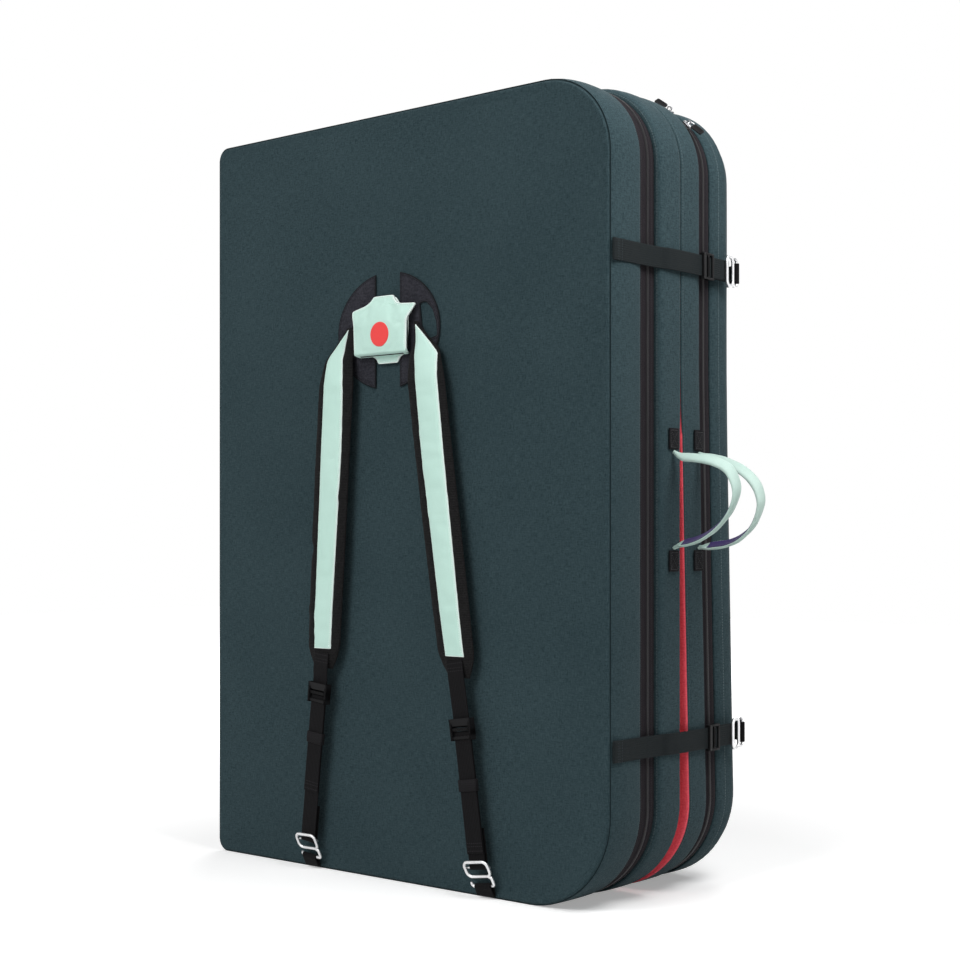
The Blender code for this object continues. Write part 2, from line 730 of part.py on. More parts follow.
def keeper(name, frame, layers):
    """A short sleeve round the webbing and its tail."""
    channel = layers * (WEBBING_THICKNESS + 2 * CLEARANCE)
    inside = WEBBING_WIDTH + 2 * CLEARANCE
    size = (inside + 2 * KEEPER_WALL, KEEPER_LENGTH, channel + 2 * KEEPER_WALL)
    made = box(name, frame, size, "webbing", BUCKLE_BEVEL)
    return combined(made, box("sleeve", frame, (inside, 2 * KEEPER_LENGTH, channel)), "DIFFERENCE")


def spine_hinge():
    """The fabric hinge, sewn over both halves' spine walls."""
    x = FOLD_AXIS_X
    low, high = SPINE_CORNER_RADIUS, PAD_HEIGHT - SPINE_CORNER_RADIUS
    path = [(x, FOLD_PLANE, low), (x, FOLD_PLANE, high)]
    return ribbon("spine_strip", path, (0, 1, 0), "shell_fabric", SPINE_STRIP_THICKNESS, SPINE_STRIP_WIDTH)


def closure_path(height):
    """The closure strap's run over the front half's side wall, with its folded and stitched end."""
    run = HALF_THICKNESS - INNER_STRIP_START
    lift = CLOSURE_LIFT + WEBBING_THICKNESS / 2
    fold = WEBBING_THICKNESS + 2 * CLEARANCE
    near = INNER_STRIP_START + INNER_STRIP_SHARES[1][0] * run
    crest = INNER_STRIP_START + INNER_STRIP_SHARES[2][0] * run
    wall = [
        (CLOSURE_STITCHED_LENGTH, OUTER_BULGE), (ZIP_FROM_FACE, OUTER_BULGE),
        (near, INNER_BULGE * INNER_STRIP_SHARES[1][1]), (crest, INNER_BULGE),
    ]
    points = [Vector((PAD_WIDTH + out + lift, y, height)) for y, out in wall]
    start = Vector((PAD_WIDTH + lift + fold, CLOSURE_START + fold, height))
    end = Vector((PAD_WIDTH + OUTER_BULGE + lift + fold, CLOSURE_STITCHED_LENGTH, height))
    turn = arc(start - Vector((fold / 2, 0, 0)), Vector((1, 0, 0)), Vector((0, -1, 0)), fold / 2, 0, 180, 6)
    return [end] + turn + points


def closure(name, height):
    """A closure strap with its buckle and hook, and the loop on the rear half that holds the hook."""
    back = lean(PAD_WIDTH, height)
    gap = HOOK_CROSSBAR_RADIUS + CLEARANCE + WEBBING_THICKNESS / 2
    bar_x = PAD_WIDTH + CLOSURE_PASS - gap
    hook_y = CLOSURE_HOOK_Y + back
    bar = Vector((bar_x, hook_y, height))
    along, out, up = Vector((0, 1, 0)), Vector((1, 0, 0)), Vector((0, 0, 1))
    path = closure_path(height) + [Vector((PAD_WIDTH + CLOSURE_PASS, FOLD_PLANE, height))]
    path += arc(bar, out, along, gap, 0, 180, 8)
    path += [bar - out * gap - along * (hook_y - CLOSURE_BUCKLE_Y - back - BUCKLE_LENGTH / 2 - HOOK_LIP)]
    pivot = (PAD_WIDTH, CLOSURE_START, height)
    swing = new_empty(name + "_swing", pivot, PAD)
    settle(ribbon(name + "_webbing", path, up, "webbing"), swing, pivot)
    place = Frame((PAD_WIDTH + CLOSURE_PASS, CLOSURE_BUCKLE_Y + back, height), along, out)
    settle(buckle(name + "_buckle", place, 1, False), swing, place.origin)
    tilt = Vector((-CLOSURE_HOOK_TILT_SHARE, 1, 0))
    place = Frame(bar, tilt, out)
    place = place.moved(0, 0, HOOK_CROSSBAR_SETBACK)
    settle(hook(name + "_hook", place), swing, bar)
    settle(closure_loop(name, place, height, back), REAR)


def closure_loop(name, hook_frame, height, back):
    """Webbing sewn to the rear face, folded round the hook's arm."""
    end = hook_frame.at(0, HOOK_REACH, 0)
    gap = HOOK_WIRE + CLEARANCE + WEBBING_THICKNESS / 2
    along, out = Vector((0, 1, 0)), Vector((1, 0, 0))
    radius = REAR_EDGE_RADIUS
    centre = Vector((PAD_WIDTH - radius, PAD_DEPTH + back - radius, height))
    inner = radius + 2 * CLEARANCE + WEBBING_THICKNESS / 2
    outer = inner + WEBBING_THICKNESS + CLOSURE_LOOP_SPREAD
    sewn_x = PAD_WIDTH - CLOSURE_LOOP_SEWN
    path = [Vector((sewn_x, centre.y + outer, height))] + arc(centre, out, along, outer, 90, 40, 3)
    path += arc(end, out, along, gap, 50, -180, 10)
    path += arc(centre, out, along, inner, 45, 90, 3) + [Vector((sewn_x, centre.y + inner, height))]
    return ribbon(name + "_loop", path, (0, 0, 1), "webbing")


def arc_place(half, share, offset):
    """A frame on the zip's top corner: along the zip towards the spine, and out."""
    angle = math.radians(90 * share)
    out = Vector((math.cos(angle), 0, math.sin(angle)))
    along = Vector((-math.sin(angle), 0, math.cos(angle)))
    centre = Vector((PAD_WIDTH - TOP_CORNER_RADIUS, ZIP_FROM_FACE + ZIP_TAPE_WIDTH / 2,
                     PAD_HEIGHT - TOP_CORNER_RADIUS))
    mapped = HALVES[half][0]
    return Frame(mapped(centre) + out * (TOP_CORNER_RADIUS + offset), along, out)


def slider(name, frame, swing, parent, pull_side):
    """A zip slider with the bridge that its pull hangs from, and the pull."""
    body = box(name, frame.moved(0, 0, SLIDER_HEIGHT / 2), (SLIDER_WIDTH, SLIDER_LENGTH, SLIDER_HEIGHT),
               "slider_metal", BUCKLE_BEVEL)
    top = frame.moved(0, 0, SLIDER_HEIGHT)
    sink = SLIDER_HEIGHT / 4
    arch = top.moved(0, 0, (BRIDGE_HEIGHT - sink) / 2)
    arch = box("arch", arch, (BRIDGE_WIDTH, BRIDGE_LENGTH, BRIDGE_HEIGHT + sink))
    body = combined(body, arch, "UNION")
    opening = BRIDGE_HEIGHT - BRIDGE_WALL
    hole = top.moved(0, 0, opening / 2)
    hole = box("hole", hole, (2 * BRIDGE_WIDTH, BRIDGE_LENGTH - 2 * BRIDGE_WALL, opening - CLEARANCE))
    body = combined(body, hole, "DIFFERENCE")
    settle(body, parent, swing)
    pin = top.moved(0, 0, opening / 2)
    reach = PULL_LENGTH / 2 - PULL_PIN_RADIUS
    pull = box(name.replace("slider", "pull"), pin.moved(0, pull_side * reach, 0),
               (PULL_WIDTH, PULL_LENGTH, PULL_THICKNESS), "buckle_plastic", PULL_THICKNESS / 4)
    notch = PULL_ARM_LENGTH - PULL_PIN_RADIUS
    middle = pull_side * (PULL_PIN_RADIUS + notch / 2)
    cutter = box("notch", pin.moved(0, middle, 0), (2 * BRIDGE_WIDTH, notch, BRIDGE_HEIGHT))
    pull = combined(pull, cutter, "DIFFERENCE")
    settle(pull, parent, pin.origin)


def sliders():
    """Two sliders nose to nose on each zip: on the rear half's corner, and on the front half's top."""
    lift = ZIP_COIL_HEIGHT + 2 * CLEARANCE - ZIP_TAPE_DEPTH
    centre = to_rear((PAD_WIDTH - TOP_CORNER_RADIUS, ZIP_FROM_FACE + ZIP_TAPE_WIDTH / 2,
                      PAD_HEIGHT - TOP_CORNER_RADIUS))
    for side, share, sign in zip(("upper", "lower"), SLIDER_ANGLES_SHARES, (1, -1)):
        name = f"rear_{side}_slider"
        turn = new_empty(name + "_travel", centre, REAR)
        slider(name, arc_place("rear", share, lift), centre, turn, sign)
    for side, sign in (("spine", 1), ("opening", -1)):
        x = FRONT_SLIDERS_FROM_SPINE - sign * FRONT_SLIDERS_APART / 2
        place = (x, ZIP_FROM_FACE + ZIP_TAPE_WIDTH / 2, PAD_HEIGHT + lift)
        slider(f"front_{side}_slider", Frame(place, (-1, 0, 0), (0, 0, 1)), place, PAD, sign)


def handle_point(reach, share):
    """A point on the handle's arch, as reach and rise; the share runs from -1 to 1."""
    angle = math.radians(90 * share)
    out = abs(math.cos(angle)) ** ARCH_POWER_SHARE
    rise = abs(math.sin(angle)) ** ARCH_POWER_SHARE
    return reach * out, HANDLE_BASE / 2 * math.copysign(rise, share)


def handle_gap():
    """How far a handle's ends stay off the wall, so that they clear it as the handle turns."""
    return math.hypot(HANDLE_STANDOFF, HANDLE_END_WIDTH / 2) - HANDLE_STANDOFF + CLEARANCE


def arch_stations(root, y):
    """Along the arch: how full the sleeve is, the middle point, and the normal in the arch's plane."""
    reach = PAD_WIDTH + HANDLE_REACH - HANDLE_THICKNESS / 2 - root
    shares = [-1 + 2 * step / HANDLE_STEPS for step in range(HANDLE_STEPS + 1)]
    points = [handle_point(reach, share) for share in shares]
    found = []
    for i, (out, rise) in enumerate(points):
        before, after = points[max(i - 1, 0)], points[min(i + 1, len(points) - 1)]
        along = Vector((after[0] - before[0], 0, after[1] - before[1])).normalized()
        full = min(1.0, (1 - abs(shares[i])) / HANDLE_TAPER_SHARE)
        place = Vector((root + out, y, HANDLE_HEIGHT + rise))
        found.append((full, place, Vector((along.z, 0, -along.x))))
    return found


def grab_handle(half):
    """A padded sleeve over webbing, with a lining on its inner side and sewn tabs above and below."""
    y = on_wall(half, HANDLE_HEIGHT)
    root = PAD_WIDTH + INNER_BULGE + handle_gap()
    parent = PAD if half == "front" else REAR
    pivot = (root + HANDLE_STANDOFF, y, HANDLE_HEIGHT)
    turn = new_empty(half + "_handle_turn", pivot, parent)
    sleeve, lining = [], []
    gap = HANDLE_THICKNESS / 2 + CLEARANCE + HANDLE_LINING_THICKNESS / 2
    for full, place, normal in arch_stations(root, y):
        width = HANDLE_END_WIDTH + (HANDLE_WIDTH - HANDLE_END_WIDTH) * full
        thickness = HANDLE_END_THICKNESS + (HANDLE_THICKNESS - HANDLE_END_THICKNESS) * full
        sleeve.append((place, Vector((0, width / 2, 0)), normal * (thickness / 2)))
        if full == 1.0:
            lining.append(place - normal * gap)
    settle(swept(half + "_handle_sleeve", sleeve, "mint_fabric"), turn, pivot)
    lining = ribbon(half + "_handle_lining", lining, (0, 1, 0), "lining_fabric",
                    HANDLE_LINING_THICKNESS, HANDLE_LINING_WIDTH)
    settle(lining, turn, pivot)
    rise = HANDLE_BASE / 2 + HANDLE_END_THICKNESS / 2 + 2 * CLEARANCE + TAB_LENGTH / 2
    for side, sign in (("lower", -1), ("upper", 1)):
        handle_tab(f"{half}_handle_{side}_tab", half, HANDLE_HEIGHT + sign * rise, parent)


def on_wall(half, height):
    """How far back a handle sits on its half's wall at a height."""
    mapped = HALVES[half][0]
    return mapped((PAD_WIDTH, FOLD_PLANE - HANDLE_FROM_FOLD[half], height)).y


def handle_tab(name, half, height, parent):
    """The webbing end sewn to the wall beyond a handle's foot."""
    x = PAD_WIDTH + INNER_BULGE + CLEARANCE + TAB_THICKNESS / 2
    place = Frame((x, on_wall(half, height), height), (0, 0, 1), (1, 0, 0))
    settle(box(name, place, (TAB_WIDTH, TAB_LENGTH, TAB_THICKNESS), "webbing"), parent)


def harness_frame(out):
    """A frame before the front face at the harness centre: along upwards, out forwards."""
    return Frame((HARNESS_X, -out, HARNESS_HEIGHT), (0, 0, 1), (0, -1, 0))


def patches():
    """Two half-oval patches with a slot between them and an opening for each strap's root."""
    slot = PATCH_SLOT / 2
    limit = math.degrees(math.asin(slot / PATCH_HALF_WIDTH))
    for side, sign in (("left", -1), ("right", 1)):
        outline = []
        for step in range(PATCH_STEPS + 1):
            angle = math.radians(-90 + limit + (180 - 2 * limit) * step / PATCH_STEPS)
            outline.append((sign * PATCH_HALF_WIDTH * math.cos(angle), PATCH_HALF_HEIGHT * math.sin(angle)))
        window = [(sign * PATCH_HALF_WIDTH * a, PATCH_HALF_HEIGHT * b) for a, b in PATCH_WINDOW_SHARES]
        frame = harness_frame(CLEARANCE + PATCH_THICKNESS / 2)
        settle(plate(side + "_harness_patch", frame, (outline, window), PATCH_THICKNESS, "webbing"), PAD)


def yoke():
    """The shaped base, the padded block on it and the printed disc."""
    outline = [(a * YOKE_HALF_WIDTH, b * YOKE_HALF_HEIGHT) for a, b in YOKE_OUTLINE_SHARES]
    outline += [(-a, b) for a, b in reversed(outline)]
    base_out = 2 * CLEARANCE + PATCH_THICKNESS
    frame = harness_frame(base_out + YOKE_THICKNESS / 2)
    settle(plate("yoke_base", frame, (outline,), YOKE_THICKNESS, "mint_fabric"), PAD)
    block_out = base_out + YOKE_THICKNESS + CLEARANCE
    size = (YOKE_PAD_WIDTH, YOKE_PAD_HEIGHT, YOKE_PAD_THICKNESS)
    frame = harness_frame(block_out + YOKE_PAD_THICKNESS / 2)
    settle(smooth(box("yoke_pad", frame, size, "mint_fabric", YOKE_PAD_BEVEL), 50), PAD)
    disc_out = block_out + YOKE_PAD_THICKNESS + CLEARANCE
    frame = harness_frame(disc_out + YOKE_DISC_THICKNESS / 2).moved(0, -YOKE_DISC_DROP, 0)
    bm = bmesh.new()
    bmesh.ops.create_cone(bm, cap_ends=True, segments=32, radius1=YOKE_DISC_RADIUS, radius2=YOKE_DISC_RADIUS,
                          depth=YOKE_DISC_THICKNESS, matrix=frame.matrix())
    settle(object_from("yoke_disc", bm, "coral_print"), PAD)


def strap_centre(strap, share):
    """The strap pad's middle line at a share of its length: out from the yoke, then straight to its foot."""
    shoulder = STRAP_SHOULDER_SHARE
    if share < shoulder:
        out = STRAP_TOP_FROM_CENTRE + (strap["shoulder"] - STRAP_TOP_FROM_CENTRE) * share / shoulder
    else:
        out = strap["shoulder"] + (strap["foot"] - strap["shoulder"]) * (share - shoulder) / (1 - shoulder)
    return Vector((HARNESS_X + strap["side"] * out, 0, HARNESS_HEIGHT - STRAP_LENGTH * share))


def strap_section(share):
    """Width, thickness and standoff of the strap pad at a share of its length."""
    for first, second in zip(STRAP_SECTION_SHARES, STRAP_SECTION_SHARES[1:]):
        if share <= second[0]:
            part = (share - first[0]) / (second[0] - first[0])
            width, thick, off = (a + (b - a) * part for a, b in zip(first[1:], second[1:]))
            return STRAP_WIDTH * width, STRAP_THICKNESS * thick, STRAP_STANDOFF * off
    return None


def strap_back(off):
    """How far the strap pad's back stands out at a standoff, never into the patch below."""
    return max(off, 2 * CLEARANCE + PATCH_THICKNESS)


def strap_pad(name, strap):
    stations = []
    for share in (row[0] for row in STRAP_SECTION_SHARES):
        width, thick, off = strap_section(share)
        place = strap_centre(strap, share)
        place.y = -(strap_back(off) + thick / 2)
        stations.append((place, Vector((width / 2, 0, 0)), Vector((0, thick / 2, 0))))
    return swept(name + "_strap_pad", stations, "padding")


def strap_facing(name, strap):
    """The fabric face along the front of the strap pad, pointed where it goes under the yoke."""
    shares = sorted({row[0] for row in STRAP_SECTION_SHARES} | {row[0] for row in FACING_EDGE_SHARES})
    edges = []
    for share in shares:
        if not FACING_EDGE_SHARES[0][0] <= share <= FACING_EDGE_SHARES[-1][0]:
            continue
        _, thick, off = strap_section(share)
        place = strap_centre(strap, share)
        place.y = -(strap_back(off) + thick + CLEARANCE + FACING_THICKNESS / 2)
        for first, second in zip(FACING_EDGE_SHARES, FACING_EDGE_SHARES[1:]):
            if first[0] <= share <= second[0]:
                part = (share - first[0]) / (second[0] - first[0])
                inner, outer = (a + (b - a) * part for a, b in zip(first[1:], second[1:]))
        half = FACING_WIDTH / 2 * strap["side"]
        edges.append((place + Vector((inner * half, 0, 0)), place + Vector((outer * half, 0, 0))))
    return strip(name + "_strap_facing", edges, "mint_fabric", FACING_THICKNESS)


def shoulder_strap(name, strap):
    """A strap with its webbing, buckle, keeper and hook, and the loop on the pad that holds the hook."""
    pivot = (HARNESS_X, -(2 * CLEARANCE + PATCH_THICKNESS + STRAP_ROOT_THICKNESS / 2), HARNESS_HEIGHT)
    swing = new_empty(name + "_strap_swing", pivot, PAD)
    settle(strap_pad(name, strap), swing, pivot)
    settle(strap_facing(name, strap), swing, pivot)
    foot = strap_centre(strap, 1)
    hook_place = Vector((HARNESS_X + strap["side"] * strap["hook"], 0, SHOULDER_HOOK_HEIGHT))
    lower = Frame(foot, hook_place - foot, (0, -1, 0))
    gap = HOOK_CROSSBAR_RADIUS + CLEARANCE + WEBBING_THICKNESS / 2
    place = Frame(hook_place + Vector((0, -SHOULDER_HOOK_OUT, 0)),
                  lower.along + Vector((0, SHOULDER_HOOK_TILT_SHARE, 0)), (0, -1, 0))
    bar = place.at(0, 0, -HOOK_CROSSBAR_SETBACK)
    main_out = -bar.y + gap
    run = (hook_place - foot).length
    buckle_b, keeper_b, tail_b = (share * run for share in STRAP_RUN_SHARES[name])
    settle(upper_webbing(name, lower, buckle_b, main_out), swing, pivot)
    settle(adjuster_webbing(name, lower, (buckle_b, buckle_b + tail_b), bar, main_out, gap), swing, pivot)
    middle_out = main_out + (WEBBING_THICKNESS + 2 * CLEARANCE) / 2
    settle(buckle(name + "_strap_buckle", lower.moved(0, buckle_b, middle_out), 2, True), swing, pivot)
    spot = lower.moved(0, buckle_b + keeper_b, middle_out)
    settle(keeper(name + "_strap_keeper", spot, 2), swing, spot.origin)
    settle(hook(name + "_shoulder_hook", place), swing, bar)
    settle(hook_loop(name, place), PAD)


def upper_webbing(name, lower, buckle_b, main_out):
    """From under the facing's end, down over the strap pad's tip and into the buckle."""
    _, thick, off = strap_section(STRAP_WEBBING_START_SHARE)
    front = off + thick + CLEARANCE + WEBBING_THICKNESS / 2
    start = STRAP_LENGTH * (STRAP_WEBBING_START_SHARE - 1)
    end = buckle_b - BUCKLE_BAR / 2 - CLEARANCE
    mouth = end - BUCKLE_LENGTH / 2
    out = main_out + (WEBBING_THICKNESS + 2 * CLEARANCE) / 2
    path = [lower.at(0, start, front), lower.at(0, 0, front), lower.at(0, min(BUCKLE_RAIL, mouth / 2), front)]
    path += [lower.at(0, mouth, out), lower.at(0, end, out)]
    return ribbon(name + "_strap_webbing", path, lower.across, "webbing")


def adjuster_webbing(name, lower, ends, bar, main_out, gap):
    """The tail in front, the turn below the buckle's bar, and the run down round the hook's bar."""
    layer = WEBBING_THICKNESS + 2 * CLEARANCE
    buckle_b, tail = ends
    top = buckle_b + BUCKLE_BAR / 2 + CLEARANCE + WEBBING_THICKNESS / 2 + layer / 2
    bar_b = (bar - lower.origin).dot(lower.along)
    middle = lower.at(0, top, main_out + layer / 2)
    path = [lower.at(0, tail, main_out + layer)]
    path += arc(middle, lower.out, -lower.along, layer / 2, 0, 180, 6)
    turn = lower.at(0, bar_b, main_out - gap)
    path += arc(turn, lower.out, lower.along, gap, 0, 180, 8)
    path += [lower.at(0, bar_b - STRAP_FOLD_BACK, main_out - 2 * gap)]
    return ribbon(name + "_strap_adjuster", path, lower.across, "webbing")


def hook_loop(name, hook_frame):
    """Webbing from the bottom seam, folded over the hook's arm."""
    end = hook_frame.at(0, HOOK_REACH, 0)
    gap = HOOK_WIRE + CLEARANCE + WEBBING_THICKNESS / 2
    out = Vector((0, -1, 0))
    up = hook_frame.across.cross(out)
    flat = CLEARANCE + WEBBING_THICKNESS / 2
    apart = WEBBING_THICKNESS + LOOP_SPREAD / 2
    path = [Vector((end.x, -flat, LOOP_FOOT))]
    path += arc(end, -out, up, gap, 0, 205, 9)
    path += [Vector((end.x, -flat - apart, LOOP_FOOT))]
    return ribbon(name + "_hook_loop", path, hook_frame.across, "webbing")


clear_scene()
PARTS = new_collection("bouldering_crash_pad")
CUTTERS = new_collection("cutters")
EMPTY_PLACES = {}
PAD = new_empty("pad", (0, 0, 0))
PAD.location = (FRAME_X, FRAME_Y, 0)
REAR = new_empty("rear_half_fold", (FOLD_AXIS_X, FOLD_PLANE, 0), PAD)

for half_name, owner in (("front", PAD), ("rear", REAR)):
    for build_piece in (outer_cover, inner_wall, landing_panel, zip_tape, zip_coil):
        settle(build_piece(half_name), owner)
    for made_piece in foam_blocks(half_name):
        settle(made_piece, owner)
    grab_handle(half_name)
settle(spine_hinge(), PAD)
closure("top_closure", TOP_CLOSURE_HEIGHT)
closure("bottom_closure", BOTTOM_CLOSURE_HEIGHT)
sliders()
patches()
yoke()
for strap_name, strap_sizes in STRAPS.items():
    shoulder_strap(strap_name, strap_sizes)
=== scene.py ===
"""A folded bouldering crash pad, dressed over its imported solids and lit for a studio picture."""

import math

import bmesh
import bpy
import numpy as np
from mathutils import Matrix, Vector
from mathutils.bvhtree import BVHTree


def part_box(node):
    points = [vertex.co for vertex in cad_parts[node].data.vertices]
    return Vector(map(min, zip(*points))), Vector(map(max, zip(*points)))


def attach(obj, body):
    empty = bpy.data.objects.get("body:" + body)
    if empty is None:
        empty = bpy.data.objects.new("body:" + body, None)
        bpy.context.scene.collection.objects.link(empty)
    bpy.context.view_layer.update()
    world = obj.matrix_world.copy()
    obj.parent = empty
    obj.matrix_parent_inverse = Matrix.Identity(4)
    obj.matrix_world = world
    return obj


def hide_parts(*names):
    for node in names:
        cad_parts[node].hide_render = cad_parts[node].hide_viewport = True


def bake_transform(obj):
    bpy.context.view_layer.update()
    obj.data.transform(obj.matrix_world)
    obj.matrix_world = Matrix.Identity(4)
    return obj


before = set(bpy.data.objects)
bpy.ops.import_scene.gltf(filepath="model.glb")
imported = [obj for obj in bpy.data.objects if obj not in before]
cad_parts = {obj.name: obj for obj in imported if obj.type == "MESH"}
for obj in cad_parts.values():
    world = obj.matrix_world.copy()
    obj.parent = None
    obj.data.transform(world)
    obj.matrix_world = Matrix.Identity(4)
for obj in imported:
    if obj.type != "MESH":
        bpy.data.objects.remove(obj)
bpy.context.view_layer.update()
# The pad's own origin, at the foot of the spine on the ground face, in the frame of the solids
CORNER = Vector((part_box("front_outer_cover")[0].x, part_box("front_outer_cover")[0].y, 0))

# Sizes that the solids have too, in metres
WIDTH, HEIGHT, DEPTH = 0.788, 1.15, 0.323
TOP_RADIUS, BASE_RADIUS, SPINE_RADIUS = 0.112, 0.138, 0.02
ZIP_START, ZIP_END = 0.073, 0.108
FOOT_GAP, SETTLE_HEIGHT, SETTLE_POWER = 0.024, 0.76, 1.15
WEB, WEB_THICK, CLEAR = 0.03, 0.0016, 0.0003
HARNESS_X, HARNESS_Z = 0.382, 0.824
TOP_CLOSURE, BOTTOM_CLOSURE = 0.904, 0.225
CLOSURE_OUT, CLOSURE_BUCKLE_Y, CLOSURE_HOOK_Y = 0.0158, 0.219, 0.277
HANDLE_Z, HANDLE_BASE, HANDLE_TIP = 0.567, 0.136, 0.12
TAB_WIDE, TAB_LONG, TAB_FROM_MIDDLE, WALL_CREST = 0.024, 0.030, 0.08585, 0.0123
PATCH_WIDE, PATCH_HIGH, PATCH_SLOT = 0.104, 0.088, 0.0245
SPINE_WIDE, SPINE_THICK = 0.09, 0.0015
HOOK_WIRE, HOOK_WIDE, HOOK_LONG, HOOK_CORNER, HOOK_REACH = 0.0023, 0.0425, 0.0235, 0.008, 0.0275
BAR_BACK, BAR_RADIUS, BAR_BEND = 0.005, 0.0015, 0.0026
LOOP_MIDDLE, LOOP_INNER, LOOP_OUTER, LOOP_SEWN, CLOSURE_HOOK_TILT = 0.018, 0.0194, 0.0240, 0.045, 0.2
BUCKLE_WIDE, BUCKLE_LONG, KEEPER_LONG, KEEPER_WALL = 0.038, 0.029, 0.017, 0.0018
SHOULDER_HOOK_Z, SHOULDER_HOOK_OUT, SHOULDER_HOOK_TILT, FOLD_BACK = 0.043, 0.0195, 0.44, 0.055
SLIDER_LONG, SLIDER_WIDE, SLIDER_HIGH, SLIDER_PIN = 0.016, 0.011, 0.004, 0.0017
SLIDERS_MIDDLE, SLIDERS_APART, PULL_TILT, PULL_TURN = 0.33, 0.017, 0.14, 0.8


# Materials

class Look:
    """A Principled material whose colour and height are built up in layers."""

    def __init__(self, name, roughness, metallic=0.0, **shader):
        self.made = bpy.data.materials.new(name)
        self.made.use_nodes = True
        self.tree = self.made.node_tree
        self.shader = self.tree.nodes["Principled BSDF"]
        self.shader.inputs["Roughness"].default_value = roughness
        self.shader.inputs["Metallic"].default_value = metallic
        for key, value in shader.items():
            self.shader.inputs[key.replace("_", " ")].default_value = value
        self.uv = self.node("ShaderNodeUVMap").outputs[0]
        self.place = self.node("ShaderNodeTexCoord").outputs["Object"]
        self.normal = None

    def feed(self, socket, value):
        if isinstance(value, bpy.types.NodeSocket):
            self.tree.links.new(value, socket)
        elif value is not None:
            socket.default_value = value

    def node(self, kind, inputs=None, **settings):
        made = self.tree.nodes.new(kind)
        for key, value in settings.items():
            setattr(made, key, value)
        for key, value in (inputs or {}).items():
            self.feed(made.inputs[key], value)
        return made

    def sum(self, operation, a, b=0.0, c=0.0):
        return self.node("ShaderNodeMath", {0: a, 1: b, 2: c}, operation=operation).outputs[0]

    def stretch(self, vector, x, y, z=1.0):
        return self.node("ShaderNodeVectorMath", {0: vector, 1: (x, y, z)}, operation="MULTIPLY").outputs[0]

    def noise(self, vector, scale, detail=2.0, roughness=0.5):
        inputs = {"Vector": vector, "Scale": scale, "Detail": detail, "Roughness": roughness}
        return self.node("ShaderNodeTexNoise", inputs).outputs[0]

    def ramp(self, value, low, high, start=0.0, end=1.0):
        inputs = {0: value, 1: low, 2: high, 3: start, 4: end}
        return self.node("ShaderNodeMapRange", inputs).outputs[0]

    def feed_colour(self, socket, value):
        self.feed(socket, value if isinstance(value, bpy.types.NodeSocket) else (*value, 1))

    def mix(self, share, first, second):
        made = self.node("ShaderNodeMix", {0: share}, data_type="RGBA")
        self.feed_colour(made.inputs[6], first)
        self.feed_colour(made.inputs[7], second)
        return made.outputs[2]

    def weighted(self, first, share, second, rest):
        """Two values added, each times its share."""
        return self.sum("ADD", self.sum("MULTIPLY", first, share), self.sum("MULTIPLY", second, rest))

    def axes(self, vector):
        return self.node("ShaderNodeSeparateXYZ", {0: vector}).outputs

    def wave(self, value, pitch):
        """A sine of a length, from -1 to 1."""
        return self.sum("SINE", self.sum("MULTIPLY", value, 2 * math.pi / pitch))

    def weave(self, vector, pitch):
        """The over and under of a plain weave, from -1 to 1."""
        x, y, _ = self.axes(vector)
        return self.sum("MULTIPLY", self.wave(x, pitch), self.wave(y, pitch))

    def bump(self, height, distance, strength):
        inputs = {"Strength": strength, "Distance": distance, "Height": height}
        made = self.node("ShaderNodeBump", inputs)
        if self.normal:
            self.tree.links.new(self.normal, made.inputs["Normal"])
        self.normal = made.outputs[0]
        self.tree.links.new(self.normal, self.shader.inputs["Normal"])

    def colour(self, value):
        self.feed_colour(self.shader.inputs["Base Color"], value)

    def rough(self, value):
        self.feed(self.shader.inputs["Roughness"], value)

    def stitches(self, across, along, places, pitch=0.0042, width=0.0005):
        """Dashes of sewing thread along lines at the given places, 1 on the thread."""
        dash = self.sum("LESS_THAN", self.sum("FRACT", self.sum("DIVIDE", along, pitch)), 0.66)
        found = None
        for place in places:
            near = self.sum("ABSOLUTE", self.sum("SUBTRACT", across, place))
            line = self.ramp(near, width * 0.7, width * 1.3, 1.0, 0.0)
            found = line if found is None else self.sum("MAXIMUM", found, line)
        return self.sum("MULTIPLY", dash, found)


WEAVE_PITCH, YARN_FINE, YARN_LONG = 0.0011, 950, 90


